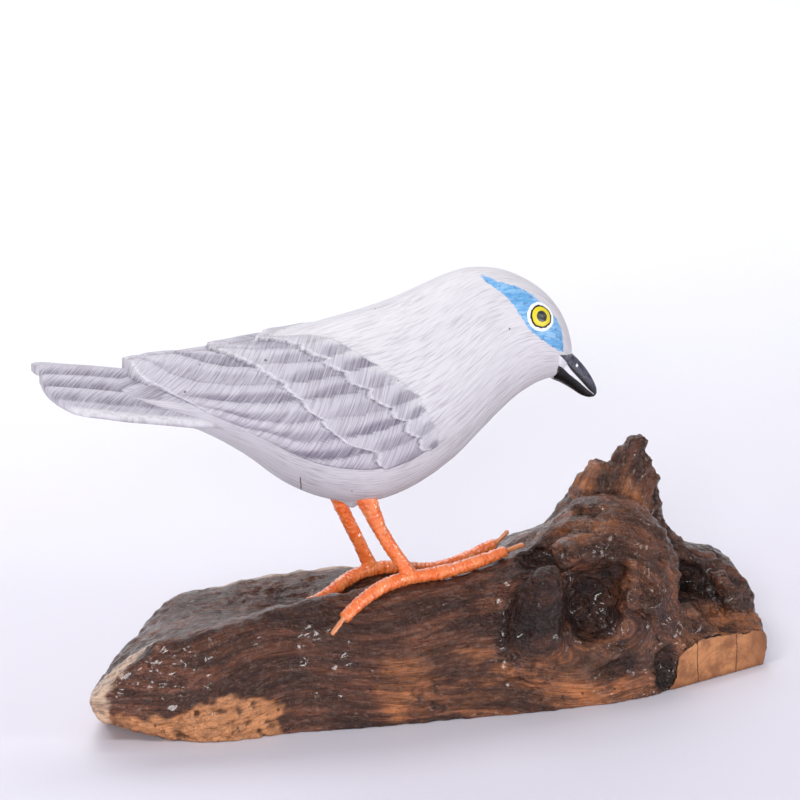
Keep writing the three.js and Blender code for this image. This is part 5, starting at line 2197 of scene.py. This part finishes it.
@dataclass(frozen=True)
class LegPaint:
    """The legs' finish: thick glossy orange paint over putty, and bare wire at the claws."""

    orange: Colour = paint(232, 108, 46)
    light: Colour = paint(240, 138, 80)
    # darker orange of the painted shade in low spots, also used for the specks
    deep: Colour = paint(176, 66, 28)
    wire: Colour = paint(214, 134, 86)

    def build(self, effects: Effects) -> bpy.types.Material:
        """Makes the material with the shared node groups.

        Args:
            effects: The shared node groups.

        Returns:
            The material.
        """
        material, nodes, shader = new_material("orange_paint")
        place = nodes.place()
        colour = nodes.layered(self.orange, [
            (place.noise(260.0).step(0.35, 0.7), self.light),
            # painted shade: the low spots of the putty relief are darkened
            (nodes.value("height").step(-0.04, -0.2) * 0.4, self.deep),
            (effects.dots(place, 2.6, 0.1, 0.25) * 0.4, self.deep),
            (nodes.value("claw"), self.wire),
        ])
        nodes.feed(shader, {
            "Base Color": colour, "Roughness": place.noise(1100.0) * 0.25 + 0.16,
            "Normal": nodes.bump(0.6, 0.35, place.noise(900.0, 4.0, 0.6)),
            "Coat Weight": 0.8, "Coat Roughness": 0.14,
        })
        return material


@dataclass(frozen=True)
class Lamp:
    """A square soft light, in metres and watts, and the place that it faces."""

    name: str
    at: Point
    size: float
    power: float
    aim: Point = (0.0, 0.0, 0.07)

    def build(self) -> None:
        """Adds the light to the scene."""
        data = bpy.data.lights.new(self.name, "AREA")
        data.size = self.size
        data.energy = self.power
        lamp = in_scene(self.name, data)
        lamp.location = self.at
        lamp.rotation_euler = facing(self.at, self.aim)


@dataclass
class Studio:
    """Pale floor that sweeps up behind the carving, soft lights and the camera."""

    target: Point = (-0.44, 27.3, 94.6)
    camera_at: Point = (-450.4, -1145.0, 431.0)
    field_width: float = 272.0
    distance: float = 1300.0
    sensor: float = 36.0
    floor_front: float = -6.0
    floor_half: float = 4.0
    floor_drop: float = 0.0002
    sweep_from: float = 1.2
    sweep_radius: float = 0.8
    backdrop_top: float = 4.0
    lamps: tuple[Lamp, ...] = (
        Lamp("key_light", (-1.0, -0.5, 1.4), 0.4, 8.0),
        Lamp("back_light", (0.2, 1.3, 1.3), 0.9, 4.0),
        Lamp("front_light", (-0.8, -1.6, 0.6), 0.36, 20.0),
        Lamp("side_light", (1.3, -1.0, 0.36), 0.36, 9.0),
        Lamp("backdrop_light", (0.0, 0.8, 2.4), 1.2, 30.0, (0.0, 2.0, 0.9)),
    )

    def build(self) -> None:
        """Sets up the floor, the lights, the world and the camera."""
        self.camera()
        self.floor()
        for lamp in self.lamps:
            lamp.build()
        self.world()
        bpy.context.scene.view_settings.view_transform = "Standard"

    def camera(self) -> None:
        """Places the camera at the photograph's angle."""
        data = bpy.data.cameras.new("camera")
        data.sensor_width = self.sensor
        data.lens = self.sensor * self.distance / self.field_width
        data.clip_end = 20.0
        camera = in_scene("camera", data)
        camera.location = Vector(self.camera_at) * MM
        camera.rotation_euler = facing(self.camera_at, self.target)
        bpy.context.scene.camera = camera

    def floor(self) -> None:
        """Makes the pale floor with its sweep, painted greyer and more lilac towards the front as painted
        light falloff.
        """
        material, nodes, shader = new_material("pale_floor")
        _, y, _ = nodes.place().apart()
        # painted light: greyer lilac in front, near-white behind, as light falling off towards the camera
        painted_falloff = nodes.mix(y.step(-0.3, 1.0), paint(209, 205, 217), paint(244, 245, 249))
        nodes.feed(shader, {"Base Color": painted_falloff, "Roughness": 0.6})
        back, radius = self.sweep_from, self.sweep_radius
        bend = np.linspace(0.1, np.pi / 2, 12)
        sweep = zip(back + radius * np.sin(bend), radius * (1.0 - np.cos(bend)))
        line = [(self.floor_front, 0.0), (back, 0.0), *sweep, (back + radius, self.backdrop_top)]
        points = [(x, y, z - self.floor_drop) for y, z in line for x in (-self.floor_half, self.floor_half)]
        mesh = bpy.data.meshes.new("floor")
        mesh.from_pydata(points, [], [[k, k + 1, k + 3, k + 2] for k in range(0, len(points) - 2, 2)])
        mesh.shade_smooth()
        mesh.materials.append(material)
        in_scene("floor", mesh)

    def world(self) -> None:
        """Makes the surroundings: bright above and behind the carving, darker in front of it."""
        world = bpy.data.worlds.new("studio")
        world.use_nodes = True
        nodes = Nodes(world.node_tree)
        _, y, z = nodes.place("Generated").apart()
        glow = z.step(-0.1, 0.9) * 0.2 + (y.step(-0.5, 0.8) * 0.3 + 0.17)
        nodes.feed(world.node_tree.nodes["Background"], {"Color": paint(246, 246, 250), "Strength": glow})
        bpy.context.scene.world = world


RIGHT_LEG = Leg(
    "right_leg_wire",
    ((-28, -8.2, 76), (-25.5, -9, 70.5), (-22, -9.8, 62), (-16.3, -11.2, 52), (-11.6, -12, 44.8)),
    (4.2, 3.4, 2.5, 2.35, 2.6),
    (((-13.5, -12.6), (-5, -12), (6, -11.6), (15, -11.2), (22.5, -10.8)),
     ((-10.5, -12), (-20, -15), (-30, -18.8), (-38.8, -22))),
    ((29.6, -10.2, 50.6), (-44.4, -25, 32.4)),
    3,
)
LEFT_LEG = Leg(
    "left_leg_wire",
    ((-35, 7.4, 78), (-31.5, 8.2, 72), (-27.6, 9, 63), (-21.8, 10.6, 51.5), (-17, 11.8, 41.4)),
    (3.6, 2.9, 2.45, 2.35, 2.6),
    (((-19, 11.2), (-8, 12.4), (4, 13), (16, 12.6), (28, 12)),
     ((-15.8, 11.6), (-27, 9), (-36, 5.6), (-42, 3.4))),
    ((33, 11.6, 48.6), (-47, 1.4, 32.4)),
    8,
)


def dress(piece: bpy.types.Object, finish: bpy.types.Material, node: str) -> None:
    """Gives a piece its finish and lets it stand for its solid.

    Args:
        piece: The finished mesh object.
        finish: Its material.
        node: Name of the solid that it replaces.
    """
    piece.data.materials.clear()
    piece.data.materials.append(finish)
    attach(piece, BODY)
    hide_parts(node)
    LOG.info("%s: %d points stand for %s", piece.name, len(piece.data.vertices), node)


def main() -> None:
    logging.basicConfig(level=logging.INFO, format="%(message)s")
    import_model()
    Studio().build()
    effects = Effects()
    bird = BirdCarving()
    dress(bird.build(), CarvedPaint().build(effects, bird), "bird")
    wood = Driftwood()
    dress(wood.build(), VarnishedWood().build(effects), "driftwood_base")
    orange = LegPaint().build(effects)
    wraps = WrapTree()
    for leg, node in ((RIGHT_LEG, "right_leg"), (LEFT_LEG, "left_leg")):
        dress(leg.build(wood, wraps, orange), orange, node)


if __name__ == "__main__":
    main()
